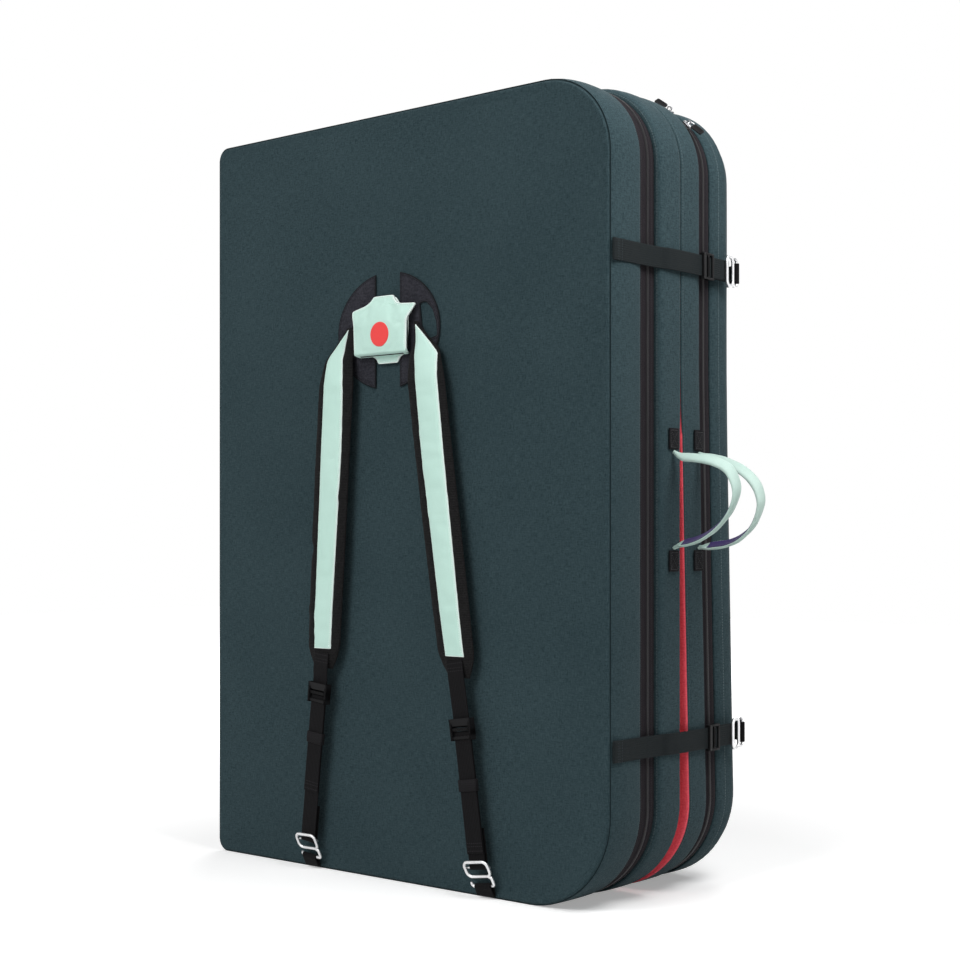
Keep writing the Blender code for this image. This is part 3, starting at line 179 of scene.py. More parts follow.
def heather(name, dark, light, sewn=(), thread=(0.13, 0.17, 0.18), place=False, patchy=0.16, edge_colour=None, seam=None):
    """Coated cloth woven from mixed yarns, with its topstitching, a darker edge and a painted shadow along the groove
    of a seam.
    """
    look = Look(name, 0.85, Sheen_Weight=0.03, Sheen_Roughness=0.5, Specular_IOR_Level=0.07)
    source = look.place if place else look.uv
    deep = 400 if place else 1
    warp = look.noise(look.stretch(source, YARN_FINE, YARN_LONG, deep), 1.0, 1.0)
    weft = look.noise(look.stretch(source, YARN_LONG, YARN_FINE, deep), 1.0, 1.0)
    yarn = look.ramp(look.sum("ADD", warp, weft), 0.72, 1.28)
    speck = look.ramp(look.noise(source, 330, 2.0, 0.7), 0.35, 0.72)
    cloud = look.noise(source, 6.0, 3.0)
    share = look.sum("MULTIPLY_ADD", look.sum("SUBTRACT", cloud, 0.5), patchy * 2,
                     look.weighted(yarn, 0.55, speck, 0.45))
    colour = look.mix(share, dark, light)
    x, y, _ = look.axes(look.uv)
    # A darker colour along the cloth's edge.
    if edge_colour:
        colour = look.mix(look.ramp(y, 0.0012, 0.0022, 1.0, 0.0), colour, edge_colour)
    # Painted shadow: a dark line along the seam, where its groove lies in shade.
    if seam:
        near = look.sum("ABSOLUTE", look.sum("SUBTRACT", y, seam))
        colour = look.mix(look.ramp(near, 0.0005, 0.0011, 1.0, 0.0), colour, tuple(0.3 * c for c in dark))
    if sewn:
        line = look.stitches(y, x, sewn)
        colour = look.mix(line, colour, thread)
    look.colour(colour)
    look.rough(look.ramp(share, 0.0, 1.0, 0.9, 0.72))
    look.bump(look.noise(source, 22.0, 3.0), 0.0022, 0.35)
    if place:
        look.bump(look.sum("ADD", warp, weft), 0.00035, 0.5)
    else:
        look.bump(look.weave(look.uv, WEAVE_PITCH), 0.00022, 0.6)
    if sewn:
        look.bump(line, 0.0005, 0.8)
    return look.made


def webbing_look(name, dark, light, sewn=()):
    """Tightly woven strapping, with its ribs along and its picks across."""
    look = Look(name, 0.72, Sheen_Weight=0.015, Sheen_Roughness=0.4, Specular_IOR_Level=0.07)
    x, y, _ = look.axes(look.uv)
    ribs = look.wave(x, 0.0030)
    picks = look.wave(y, 0.0011)
    slant = look.wave(look.sum("ADD", look.sum("PINGPONG", x, 0.003), y), 0.0016)
    fibres = look.noise(look.stretch(look.uv, 900, 250), 1.0)
    share = look.ramp(look.sum("ADD", look.sum("MULTIPLY", slant, 0.6), fibres), -0.3, 1.4)
    colour = look.mix(share, dark, light)
    if sewn:
        line = look.stitches(y, x, sewn, 0.0036)
        colour = look.mix(line, colour, tuple(2.2 * c for c in light))
        look.bump(line, 0.0004, 0.8)
    look.colour(colour)
    look.bump(look.weighted(ribs, 0.5, picks, 0.5), 0.0003, 0.7)
    look.bump(look.noise(look.place, 60.0, 2.0), 0.001, 0.25)
    return look.made


def mesh_look(name):
    """Ribbed spacer mesh and its binding."""
    look = Look(name, 0.88, Sheen_Weight=0.02, Sheen_Roughness=0.5, Specular_IOR_Level=0.05)
    holes = look.node("ShaderNodeTexVoronoi", {"Vector": look.place, "Scale": 420.0}).outputs["Distance"]
    share = look.ramp(holes, 0.1, 0.6)
    ribs = look.ramp(look.wave(look.axes(look.uv)[1], 0.0024), -1, 1)
    shade = look.sum("MULTIPLY_ADD", ribs, 0.5, look.sum("MULTIPLY", share, 0.5))
    look.colour(look.mix(shade, (0.0035, 0.0035, 0.0037), (0.018, 0.0175, 0.018)))
    look.bump(share, 0.0004, 0.5)
    look.bump(ribs, 0.0007, 0.7)
    look.bump(look.noise(look.place, 40.0, 2.0), 0.0012, 0.3)
    return look.made


def smooth_cloth(name, base, shade, roughness, fine=520.0, sheen=0.2, folds=0.5, rim=None, sewn=()):
    """Fine plain cloth: a soft face with a faint grain and shallow folds, and a pale rim where it turns under."""
    look = Look(name, roughness, Sheen_Weight=sheen, Sheen_Roughness=0.45, Specular_IOR_Level=0.2)
    cloud = look.noise(look.place, 9.0, 3.0)
    grain = look.noise(look.place, fine, 1.0)
    share = look.ramp(look.weighted(cloud, 0.7, grain, 0.3), 0.3, 0.7)
    colour = look.mix(share, shade, base)
    x, y, _ = look.axes(look.uv)
    if rim:
        colour = look.mix(look.ramp(y, 0.0010, 0.0018, 1.0, 0.0), colour, rim)
    if sewn:
        line = look.stitches(y, x, sewn, 0.0034, 0.0003)
        colour = look.mix(line, colour, rim or shade)
        look.bump(line, 0.0004, 0.6)
    look.colour(colour)
    look.rough(look.ramp(grain, 0.2, 0.8, roughness + 0.08, roughness - 0.08))
    look.bump(grain, 0.0003, 0.4)
    look.bump(look.noise(look.place, 28.0, 3.0), 0.002, folds)
    return look.made


def moulded(name, dark, light, roughness):
    """Moulded plastic with a fine texture, and a lighter colour along its sharp edges."""
    look = Look(name, roughness, Specular_IOR_Level=0.1)
    grain = look.noise(look.place, 900.0, 2.0)
    edge = look.ramp(look.node("ShaderNodeNewGeometry").outputs["Pointiness"], 0.50, 0.60)
    look.colour(look.mix(look.weighted(edge, 0.6, grain, 0.3), dark, light))
    look.rough(look.ramp(grain, 0.3, 0.7, roughness - 0.07, roughness + 0.1))
    look.bump(grain, 0.0001, 0.5)
    return look.made


def brushed(name, base, roughness):
    """Plated or brushed metal with small scratches."""
    look = Look(name, roughness, 1.0)
    line = look.noise(look.stretch(look.place, 300, 300, 1500), 1.0, 3.0)
    cloud = look.noise(look.place, 35.0, 3.0)
    look.colour(look.mix(look.ramp(cloud, 0.3, 0.7), tuple(0.8 * c for c in base), base))
    look.rough(look.ramp(look.sum("ADD", line, cloud), 0.7, 1.3, roughness - 0.08, roughness + 0.12))
    look.bump(line, 0.0001, 0.3)
    return look.made


def coil_look(name):
    """A coil zip's meshed teeth, as ridges across the bead."""
    look = Look(name, 0.45, Specular_IOR_Level=0.25)
    x, y, _ = look.axes(look.uv)
    teeth = look.wave(look.sum("ADD", x, look.sum("MULTIPLY", look.sum("ABSOLUTE", y), 0.5)), 0.0016)
    look.colour(look.mix(look.ramp(teeth, -1, 1), (0.004, 0.004, 0.0045), (0.022, 0.02, 0.023)))
    look.bump(teeth, 0.0006, 0.9)
    return look.made


def tape_look(name):
    """Herringbone zip tape: brownish black, with a stitched line near each edge."""
    look = Look(name, 0.82, Sheen_Weight=0.02, Specular_IOR_Level=0.06)
    x, y, _ = look.axes(look.uv)
    bone = look.wave(look.sum("ADD", look.sum("PINGPONG", y, 0.002), x), 0.0012)
    fibres = look.noise(look.stretch(look.uv, 40, 500), 1.0)
    share = look.ramp(look.sum("ADD", look.sum("MULTIPLY", bone, 0.5), fibres), -0.1, 1.2)
    colour = look.mix(share, (0.007, 0.006, 0.0075), (0.024, 0.020, 0.024))
    line = look.stitches(y, x, (0.0052, 0.0298), 0.0034, 0.0004)
    look.colour(look.mix(line, colour, (0.04, 0.034, 0.038)))
    look.bump(bone, 0.0002, 0.5)
    look.bump(line, 0.0004, 0.7)
    return look.made


def foam_look(name, dark, light, size):
    """Foam, with its cells at a size."""
    look = Look(name, 0.95)
    cells = look.node("ShaderNodeTexVoronoi", {"Vector": look.place, "Scale": 1 / size}).outputs["Distance"]
    look.colour(look.mix(look.ramp(cells, 0.1, 0.8), dark, light))
    look.bump(cells, size / 3, 0.6)
    return look.made


TEAL_DARK, TEAL_LIGHT = (0.014, 0.030, 0.036), (0.048, 0.080, 0.090)
# The outer cover has a painted shadow along the groove of its front seam.
SHELL_OUTER = heather("shell_fabric_outer_wall", TEAL_DARK, TEAL_LIGHT, sewn=(0.0700,), seam=0.0016)
SHELL_INNER = heather("shell_fabric_inner_wall", TEAL_DARK, TEAL_LIGHT, sewn=(0.0065, 0.0560),
                      thread=(0.075, 0.105, 0.112))
LANDING = heather("landing_fabric", (0.74, 0.075, 0.105), (0.97, 0.150, 0.190), patchy=0.3)
LINING = smooth_cloth("lining_fabric", (0.045, 0.024, 0.14), (0.025, 0.014, 0.085), 0.7)
PRINT = smooth_cloth("coral_print", (0.91, 0.075, 0.072), (0.83, 0.058, 0.060), 0.5, fine=900.0, folds=0.1)
WEB_DARK, WEB_LIGHT = (0.002, 0.002, 0.0024), (0.0095, 0.009, 0.010)
WEBBING = webbing_look("webbing", WEB_DARK, WEB_LIGHT)
WEBBING_SEWN = webbing_look("sewn_webbing", WEB_DARK, WEB_LIGHT, sewn=(0.0040, 0.0105, 0.0150))
CLOSURE_SEWN = webbing_look("closure_webbing", (0.005, 0.0065, 0.007), (0.017, 0.022, 0.024),
                            sewn=(0.0300, 0.0265, 0.0355))
ELASTIC = webbing_look("elastic", (0.0035, 0.0035, 0.004), (0.018, 0.017, 0.019))
MINT_EDGED = smooth_cloth("mint_panel", (0.575, 0.81, 0.725), (0.52, 0.76, 0.67), 0.6, sheen=0.1, folds=0.2,
                          rim=(0.84, 0.96, 0.91), sewn=(0.0031,))
HANDLE_MINT = smooth_cloth("mint_sleeve", (0.50, 0.64, 0.585), (0.40, 0.55, 0.495), 0.62, sheen=0.1, folds=0.35)
SPINE_CLOTH = heather("spine_fabric", TEAL_DARK, TEAL_LIGHT, sewn=(-0.0395, -0.0355, 0.0355, 0.0395))
PATCH = heather("patch_fabric", (0.014, 0.0145, 0.019), (0.040, 0.040, 0.050), place=True, patchy=0.1, sewn=(0.0033,),
                thread=(0.012, 0.012, 0.015), edge_colour=(0.010, 0.011, 0.013))
TAB = heather("tab_webbing", (0.003, 0.003, 0.004), (0.011, 0.011, 0.013), place=True, patchy=0.1, sewn=(0.0030,),
              thread=(0.024, 0.024, 0.027))
PADDING = mesh_look("strap_mesh")
TAPE = tape_look("zip_tape")
COIL = coil_look("zip_coil")
PLASTIC = moulded("buckle_plastic", (0.0035, 0.0035, 0.004), (0.013, 0.013, 0.014), 0.5)
HOOK = brushed("hook_metal", (0.80, 0.80, 0.81), 0.36)
SLIDER = brushed("slider_metal", (0.22, 0.22, 0.23), 0.34)
THREAD = smooth_cloth("sewing_thread", (0.03, 0.03, 0.033), (0.015, 0.015, 0.017), 0.6, fine=1500.0, folds=0.0)
SOFT_FOAM = foam_look("open_cell_foam", (0.5, 0.46, 0.33), (0.75, 0.70, 0.54), 0.0025)
FIRM_FOAM = foam_look("closed_cell_foam", (0.06, 0.06, 0.065), (0.13, 0.13, 0.14), 0.0012)


# Meshes

def spot(point):
    """A point of the pad in the frame of the solids."""
    return CORNER + Vector(point)


class Sheet:
    """Grids of points gathered into one mesh, with places on the cloth as its UV map."""

    def __init__(self):
        self.points, self.faces, self.uvs = [], [], []

    def grid(self, points, uvs):
        points, uvs = np.asarray(points, float), np.asarray(uvs, float)
        rows, columns = points.shape[:2]
        start = len(self.points)
        self.points += points.reshape(-1, 3).tolist()
        self.uvs += uvs.reshape(-1, 2).tolist()
        for i in range(rows - 1):
            for j in range(columns - 1):
                a = start + i * columns + j
                self.faces.append((a, a + 1, a + columns + 1, a + columns))

    def face(self, points, uvs):
        start = len(self.points)
        self.points += [list(p) for p in points]
        self.uvs += [list(p) for p in uvs]
        self.faces.append(tuple(range(start, start + len(points))))

    def capped(self, rows, uvs):
        """Rings joined into a closed piece, each with its first point again at its end."""
        self.grid(rows, uvs)
        for end in (0, -1):
            self.face(rows[end][:-1], uvs[end][:-1])

    def build(self, name, material, centre=None, weld=2e-5, sharp=None):
        mesh = bpy.data.meshes.new(name)
        mesh.from_pydata([CORNER + Vector(p) for p in self.points], [], self.faces)
        layer = mesh.uv_layers.new(name="UVMap")
        uvs = np.array(self.uvs, np.float32)
        index = np.empty(len(mesh.loops), np.int32)
        mesh.loops.foreach_get("vertex_index", index)
        layer.data.foreach_set("uv", uvs[index].ravel())
        bm = bmesh.new()
        bm.from_mesh(mesh)
        bmesh.ops.remove_doubles(bm, verts=bm.verts, dist=weld)
        bmesh.ops.dissolve_degenerate(bm, edges=bm.edges, dist=1e-7)
        bmesh.ops.recalc_face_normals(bm, faces=bm.faces)
        if centre is not None:
            middle = spot(centre)
            if sum((f.calc_center_median() - middle).dot(f.normal) * f.calc_area() for f in bm.faces) < 0:
                bmesh.ops.reverse_faces(bm, faces=bm.faces)
        bm.to_mesh(mesh)
        bm.free()
        return finished(name, mesh, material, sharp)


def finished(name, mesh, material, sharp):
    """The mesh as an object with its material, its shading split at angles over sharp degrees."""
    mesh.materials.clear()
    mesh.materials.append(material)
    mesh.shade_smooth()
    if sharp:
        mesh.set_sharp_from_angle(angle=math.radians(sharp))
    made = bpy.data.objects.new(name, mesh)
    bpy.context.collection.objects.link(made)
    return made


def placed(piece, body, *nodes, slot=None, padded=None):
    """The piece rides on a body and stands for its solids."""
    if body:
        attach(piece, body)
    if nodes:
        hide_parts(*nodes)


def points_of(piece):
    """A piece's points, in the frame of the solids."""
    return np.array([v.co for v in piece.data.vertices])


def move_points(piece, points):
    """The piece's points go to new places."""
    piece.data.vertices.foreach_set("co", points.astype(np.float32).ravel())


def surface(piece):
    """A piece's faces, for finding where a ray meets them."""
    return BVHTree.FromPolygons([v.co for v in piece.data.vertices], [p.vertices for p in piece.data.polygons])


def running(steps):
    """The way gone after each step, from 0."""
    return np.concatenate([[0], np.cumsum(steps)])


def square_to(vector, along):
    """The part of a vector at right angles to a direction, at length 1."""
    return (vector - vector.dot(along) * along).normalized()


class Place:
    """A local frame: a across, b along and c out."""

    def __init__(self, origin, along, out):
        self.origin = Vector(origin)
        self.along = Vector(along).normalized()
        self.out = square_to(Vector(out), self.along)
        self.across = self.along.cross(self.out)

    def at(self, a, b, c):
        return self.origin + self.across * a + self.along * b + self.out * c

    def moved(self, a, b, c):
        return Place(self.at(a, b, c), self.along, self.out)


def curve_through(points, step):
    """Points at even steps along a smooth curve through the given ones."""
    points = [Vector(p) for p in points]
    points = [2 * points[0] - points[1]] + points + [2 * points[-1] - points[-2]]
    fine = []
    for p0, p1, p2, p3 in zip(points, points[1:], points[2:], points[3:]):
        count = max(2, int((p2 - p1).length / step) + 1)
        for i in range(count):
            t = i / count
            fine.append(0.5 * (2 * p1 + (p2 - p0) * t + (2 * p0 - 5 * p1 + 4 * p2 - p3) * t * t
                               + (3 * p1 - p0 - 3 * p2 + p3) * t ** 3))
    return fine + [points[-2]]


def arc(centre, first, second, radius, start, end, steps):
    """Points along an arc that turns from the first direction to the second, its angles in degrees."""
    angles = [math.radians(start + (end - start) * i / steps) for i in range(steps + 1)]
    return [Vector(centre) + radius * (math.cos(a) * Vector(first) + math.sin(a) * Vector(second)) for a in angles]


def heading(path, i, closed=False):
    """A path's direction at one of its points."""
    count = len(path)
    before = path[(i - 1) % count if closed else max(i - 1, 0)]
    after = path[(i + 1) % count if closed else min(i + 1, count - 1)]
    return (after - before).normalized()


def ring_at(point, across, out, section):
    """A section's points round a point of a path, with the first again at the end."""
    return [point + across * a + out * c for a, c in section + section[:1]]


def girth(section):
    """The way gone round a section at each of its points, and back at the first."""
    return running([math.hypot(a1 - a0, c1 - c0) for (a0, c0), (a1, c1) in zip(section, section[1:] + section[:1])])


def swept(sheet, path, sides, section, closed=False):
    """A closed section carried along a path. sides gives the across direction, for all points or for each."""
    rows, uvs, run = [], [], 0.0
    around = girth(section)
    for i, point in enumerate(path):
        along = heading(path, i, closed)
        across = square_to(Vector(sides(i) if callable(sides) else sides), along)
        rows.append(ring_at(point, across, along.cross(across), section))
        if i:
            run += (point - path[i - 1]).length
        uvs.append([(s, run) for s in around])
    if closed:
        rows.append(rows[0])
        uvs.append([(s, run + (path[0] - path[-1]).length) for s, _ in uvs[0]])
        sheet.grid(rows, uvs)
    else:
        sheet.capped(rows, uvs)


def flat_section(width, thickness):
    """A strap's section: flat faces and round edges."""
    half, thin = width / 2, thickness / 2
    edge = [(half - thin + thin * math.cos(a), thin * math.sin(a)) for a in (-1.2, -0.4, 0.4, 1.2)]
    inner = half - 2 * thin
    face = [(inner * s, thin) for s in (1.0, 0.5, 0.0, -0.5, -1.0)]
    side = edge + face
    return side + [(-a, -c) for a, c in side]


def tube(sheet, points, radius, sides, closed=False):
    """Round wire through the points."""
    turn = [2 * math.pi * i / sides for i in range(sides)]
    section = [(radius * math.cos(a), radius * math.sin(a)) for a in turn]
    points = [Vector(p) for p in points]
    side = (points[1] - points[0]).normalized().cross(Vector((0.31, 0.2, 0.93))).normalized()
    sides_at = []
    for i in range(len(points)):
        side = square_to(side, heading(points, i, closed))
        sides_at.append(side)
    swept(sheet, points, lambda i: sides_at[i], section, closed)


def stitch_line(sheet, path, out, pitch, dash, radius):
    """Sewing along a path, as thread that dips into the cloth between stitches."""
    path = curve_through(path, pitch / 3)
    lengths = running([(b - a).length for a, b in zip(path, path[1:])])
    table = np.array([list(p) for p in path])

    def at(distance):
        return Vector([float(np.interp(distance, lengths, table[:, k])) for k in range(3)])

    section = [(radius * 1.3 * math.cos(a), radius * math.sin(a)) for a in (0.5, 1.57, 2.64, 3.8, 5.6)]
    normal = out.normalized()
    for k in range(int(lengths[-1] / pitch)):
        points = [at(k * pitch + dash * s) for s in (0.0, 0.2, 0.8, 1.0)]
        across = (points[-1] - points[0]).normalized().cross(normal).normalized()
        rows = [ring_at(point, across, normal, [(a, c + lift) for a, c in section])
                for point, lift in zip(points, (-0.0006, 0.0001, 0.0001, -0.0006))]
        sheet.grid(rows, np.zeros((len(rows), len(section) + 1, 2)))


# The two padded halves

def lean(x, z):
    """How far the rear half has moved back at a place."""
    rise = np.maximum(0.0, 1 - z / SETTLE_HEIGHT) ** SETTLE_POWER
    return FOOT_GAP * rise * np.maximum(0.0, x) / WIDTH


def mapped(half, points):
    """Points of the front half, or their mirror on the rear half, which leans back at its foot."""
    points = np.array(points, float)
    if half == "rear":
        points[..., 1] = DEPTH - points[..., 1] + lean(points[..., 0], points[..., 2])
    return points


def outline():
    """Rows up the pad: its right and left points with their normals, all in XZ."""
    low = np.radians(np.linspace(-90, 0, 19))
    top = np.radians(np.linspace(0, 90, 17))
    rise = np.linspace(BASE_RADIUS, HEIGHT - TOP_RADIUS, 46)[1:-1]
    turn = np.concatenate([low, np.zeros(len(rise)), top])
    normals = np.stack([np.cos(turn), np.sin(turn)], 1)
    centres = np.concatenate([
        np.tile((WIDTH - BASE_RADIUS, BASE_RADIUS), (len(low), 1)) + BASE_RADIUS * normals[:len(low)],
        np.stack([np.full(len(rise), WIDTH), rise], 1),
        np.tile((WIDTH - TOP_RADIUS, HEIGHT - TOP_RADIUS), (len(top), 1)) + TOP_RADIUS * normals[-len(top):],
    ])
    z = centres[:, 1]
    sine = np.clip(1 - (HEIGHT - z) / SPINE_RADIUS, 0, 1) - np.clip(1 - z / SPINE_RADIUS, 0, 1)
    cosine = np.sqrt(np.maximum(0, 1 - sine ** 2))
    left = np.stack([SPINE_RADIUS * (1 - cosine), z], 1)
    return centres, normals, left, np.stack([-cosine, sine], 1)


COLUMNS = np.linspace(0, 1, 33)


class Outline:
    """The pad's outline as one loop, and the panel inside it as rows."""

    def __init__(self):
        right, right_n, left, left_n = outline()
        middle = COLUMNS[1:-1, None]
        base = left[0] + (right[0] - left[0]) * middle
        top = right[-1] + (left[-1] - right[-1]) * middle
        down, up = np.tile((0.0, -1.0), (len(base), 1)), np.tile((0.0, 1.0), (len(top), 1))
        self.rows = len(right)
        self.points = np.concatenate([left[:1], base, right, top, left[:0:-1]])
        self.normals = np.concatenate([left_n[:1], down, right_n, up, left_n[:0:-1]])
        self.spine = np.zeros(len(self.points), bool)
        self.spine[0] = True
        self.spine[-(self.rows - 1):] = True
        gaps = np.linalg.norm(np.diff(self.points, axis=0, append=self.points[:1]), axis=1)
        self.run = running(gaps)
        self.share = np.where(self.spine, np.sqrt(np.maximum(0, 1 - np.abs(self.normals[:, 1]))), 0.0)

    def ring(self, y, offset, y_spine=None, lift=0.0):
        """The loop at a depth, moved out by an offset, but never through the base or past the spine."""
        offset = np.broadcast_to(np.asarray(offset, float), (len(self.points),))
        across = np.where(self.spine, np.minimum(offset, 0), offset)
        upward = np.where((offset < 0) | (self.normals[:, 1] > 0), offset, 0.0)
        x = self.points[:, 0] + self.normals[:, 0] * across
        z = self.points[:, 1] + self.normals[:, 1] * upward + lift * np.maximum(0, -self.normals[:, 1])
        depth = y + ((y if y_spine is None else y_spine) - y) * self.share
        inside = np.maximum(-offset, 0)
        x = np.where(offset < 0, np.maximum(x, inside), x)
        z = np.where(offset < 0, np.clip(z, inside, HEIGHT - inside), z)
        return np.stack([x, depth, z], 1)

    def panel(self, y, offset):
        """Rows of points inside the loop that ring gives at an offset."""
        loop = self.ring(y, offset)
        first = len(COLUMNS) - 1
        right = loop[first:first + self.rows]
        left = np.concatenate([loop[:1], loop[:-self.rows:-1]])
        return left[:, None] + (right - left)[:, None] * COLUMNS[None, :, None]


PAD = Outline()


def ripple(along, across, size, seed):
    """Shallow unevenness, as a sum of waves of unlike directions."""
    turn = np.random.default_rng(seed)
    found = 0.0
    for _ in range(9):
        angle, pitch, phase = turn.uniform(0, math.pi), turn.uniform(0.6, 1.6) * size, turn.uniform(0, 6.28)
        found = found + np.sin((along * math.cos(angle) + across * math.sin(angle)) * 6.283 / pitch + phase)
    return found / 5


def loft(sheet, half, stations, seed, stretch, zero, wobble=0.0005, pucker=0.0003, shift=0.0):
    """A band round the outline through depths and offsets, its UV run and reach in metres.

    shift moves the stations that give a weight for it in depth.
    """
    reach = [0.0]
    for (y0, o0, *_), (y1, o1, *_) in zip(stations, stations[1:]):
        reach.append(reach[-1] + math.hypot(y1 - y0, o1 - o0))
    reach = np.array(reach) - reach[zero]
    span = max(reach[-1], 1e-6)
    rings, uvs = [], []
    for k, (y, offset, *weight) in enumerate(stations):
        middle = math.sin(math.pi * min(max(reach[k] / span, 0), 1))
        uneven = wobble * middle * ripple(PAD.run[:-1], reach[k], 0.22, seed)
        near = pucker * math.exp(-abs(span - reach[k]) / 0.012)
        uneven = uneven + near * ripple(PAD.run[:-1], reach[k] * 3, 0.024, seed + 1)
        y_spine = y * stretch if stretch and y > 0.02 else y
        if weight:
            y, y_spine = y + weight[0] * shift, y_spine + weight[0] * shift
        ring = PAD.ring(y, offset + uneven, y_spine)
        rings.append(np.concatenate([ring, ring[:1]]))
        uvs.append(np.stack([PAD.run, np.full(len(PAD.run), reach[k])], 1))
    sheet.grid(mapped(half, rings), uvs)


PANEL_UV_SHIFT = 10.0  # keeps a panel's cloth off the places of the stitched lines


def panel(sheet, half, y, offset, seed, depth):
    """The flat face inside a loop, barely uneven."""
    grid = PAD.panel(y, offset)
    rows, columns = grid.shape[:2]
    inside = np.outer(np.sin(np.linspace(0, math.pi, rows)) ** 0.3, np.sin(np.linspace(0, math.pi, columns)) ** 0.3)
    grid[..., 1] += depth * inside * ripple(grid[..., 0], grid[..., 2], 0.3, seed)
    sheet.grid(mapped(half, grid), grid[..., [0, 2]] + PANEL_UV_SHIFT)


# Depth and offset at each ring, and on some the weight of the closed gap's shift
FRONT_EDGE = [(0.0009, -0.014), (0.0007, -0.008), (0.0006, -0.005), (0.0009, -0.0033), (0.0018, -0.0023),
              (0.0036, -0.0017), (0.0029, -0.0004), (0.0033, 0.0006)]
REAR_EDGE = [(0.0009, -0.044), (0.0007, -0.036), (0.0006, -0.0325), (0.0012, -0.0305), (0.0030, -0.0290),
             (0.0018, -0.0265), (0.0028, -0.0215), (0.0058, -0.0150), (0.0104, -0.0092), (0.0168, -0.0048),
             (0.0250, -0.0016)]
OUTER_WALL = [(0.0075, 0.0015), (0.015, 0.0031), (0.026, 0.0044), (0.038, 0.005), (0.050, 0.0048), (0.060, 0.0041),
              (0.0665, 0.0031), (0.0703, 0.0018), (0.0726, 0.0004), (0.0730, -0.0010), (0.0722, -0.0024)]
INNER_WALL = [(0.1090, -0.0026), (0.1081, -0.0010), (0.1083, 0.0014), (0.1092, 0.0042), (0.1112, 0.0068),
              (0.1145, 0.0084), (0.1195, 0.0094), (0.126, 0.0100), (0.133, 0.0103), (0.140, 0.0104, 0.1),
              (0.1460, 0.0104, 0.3), (0.1510, 0.0102, 0.6), (0.1550, 0.0099, 0.85), (0.1577, 0.0094, 1),
              (0.1592, 0.0087, 1), (0.1598, 0.0078, 1), (0.1588, 0.0070, 1)]
LANDING_EDGE = [(0.1583, 0.0072, 1), (0.1590, 0.0084, 1), (0.1599, 0.0082, 0.7), (0.1606, 0.0070, 0.35),
                (0.1609, 0.0045, 0.15), (0.1609, 0.0, 0.1), (0.1606, -0.008, 0.05), (0.1604, -0.016),
                (0.1603, -0.024)]
GAP_TOP, GAP_CLOSED, SWELL, TUCK, WRAP = 0.655, 0.70, 0.0012, 0.0034, 0.0012


def covers(half, seed):
    """The outer cover, inner wall and landing face of a half. The gap between the halves closes near the top."""
    centre = (WIDTH / 2, DEPTH / 2 - 0.07 if half == "front" else DEPTH / 2 + 0.09, HEIGHT / 2)
    body = half + "_half"
    edge = FRONT_EDGE if half == "front" else REAR_EDGE
    sheet = Sheet()
    panel(sheet, half, *edge[0], seed, 0.0006)
    zero = 5 if half == "front" else 4
    stations = edge + (OUTER_WALL if half == "front" else OUTER_WALL[3:])
    loft(sheet, half, stations, seed, (ZIP_END - CLEAR) / ZIP_START, zero)
    placed(sheet.build(half + "_cover", SHELL_OUTER, centre), body, half + "_outer_cover", slot="shell_fabric",
           padded=0.9)
    z = PAD.points[:, 1]
    closed = eased(z, GAP_TOP, GAP_CLOSED)
    wrap = WRAP * eased(GAP_CLOSED - z, 0.0, 0.52) if half == "rear" else 0.0
    sheet = Sheet()
    loft(sheet, half, INNER_WALL, seed + 5, None, 0, 0.0006, 0.0, SWELL * closed - wrap)
    placed(sheet.build(half + "_inner_strip", SHELL_INNER, centre), body, half + "_inner_wall", slot="shell_fabric",
           padded=0.8)
    sheet = Sheet()
    loft(sheet, half, LANDING_EDGE, seed + 7, None, 0, 0.0, 0.0, -TUCK * closed - wrap)
    panel(sheet, half, *LANDING_EDGE[-1], seed + 8, 0.0003)
    placed(sheet.build(half + "_landing_face", LANDING, centre), body, half + "_landing_panel",
           slot="landing_fabric", padded=0.9)


FOAM_EDGE = {"front": [(0.0030, -0.030), (0.0032, -0.012), (0.0046, -0.0066), (0.0080, -0.0040)],
             "rear": [(0.0040, -0.050), (0.0042, -0.036), (0.0064, -0.0250), (0.0100, -0.0175), (0.0155, -0.0115),
                      (0.0230, -0.0070), (0.0330, -0.0040)]}
ZIP_TAPE = [(0.0722, -0.0022), (0.0732, -0.0013), (0.0745, -0.0008), (0.0765, -0.0006), (0.0815, -0.0006),
            (0.0858, -0.0005), (0.0872, -0.0001), (0.0884, 0.0000), (0.0905, -0.0002), (0.0926, 0.0000),
            (0.0938, -0.0001), (0.0952, -0.0005), (0.0995, -0.0006), (0.1045, -0.0006), (0.1065, -0.0009),
            (0.1082, -0.0014), (0.1090, -0.0022)]


def zip_band(half, name, stations, ends, material, slot, node, centred=0.0):
    """A band along the zip, from one spine corner round the three open sides to the other."""
    keep = ~(PAD.spine & (np.abs(PAD.normals[:, 1]) < ends))
    first = int(np.argmax(~keep))
    order = np.roll(np.arange(len(keep)), -first)
    order = order[keep[order]]
    rows, uvs, reach = [], [], 0.0
    for k, (y, offset) in enumerate(stations):
        if k:
            reach += math.hypot(y - stations[k - 1][0], offset - stations[k - 1][1])
        rows.append(PAD.ring(y, offset, ZIP_END - CLEAR, 0.002)[order])
        run = running(np.linalg.norm(np.diff(rows[0], axis=0), axis=1))
        uvs.append(np.stack([run, np.full(len(run), reach)], 1))
    uvs = np.array(uvs)
    uvs[..., 1] -= centred * reach
    sheet = Sheet()
    sheet.grid(mapped(half, rows), uvs)
    made = sheet.build(half + name, material, (WIDTH / 2, 0.09 if half == "front" else DEPTH - 0.09, HEIGHT / 2))
    placed(made, half + "_half", half + node, slot=slot)


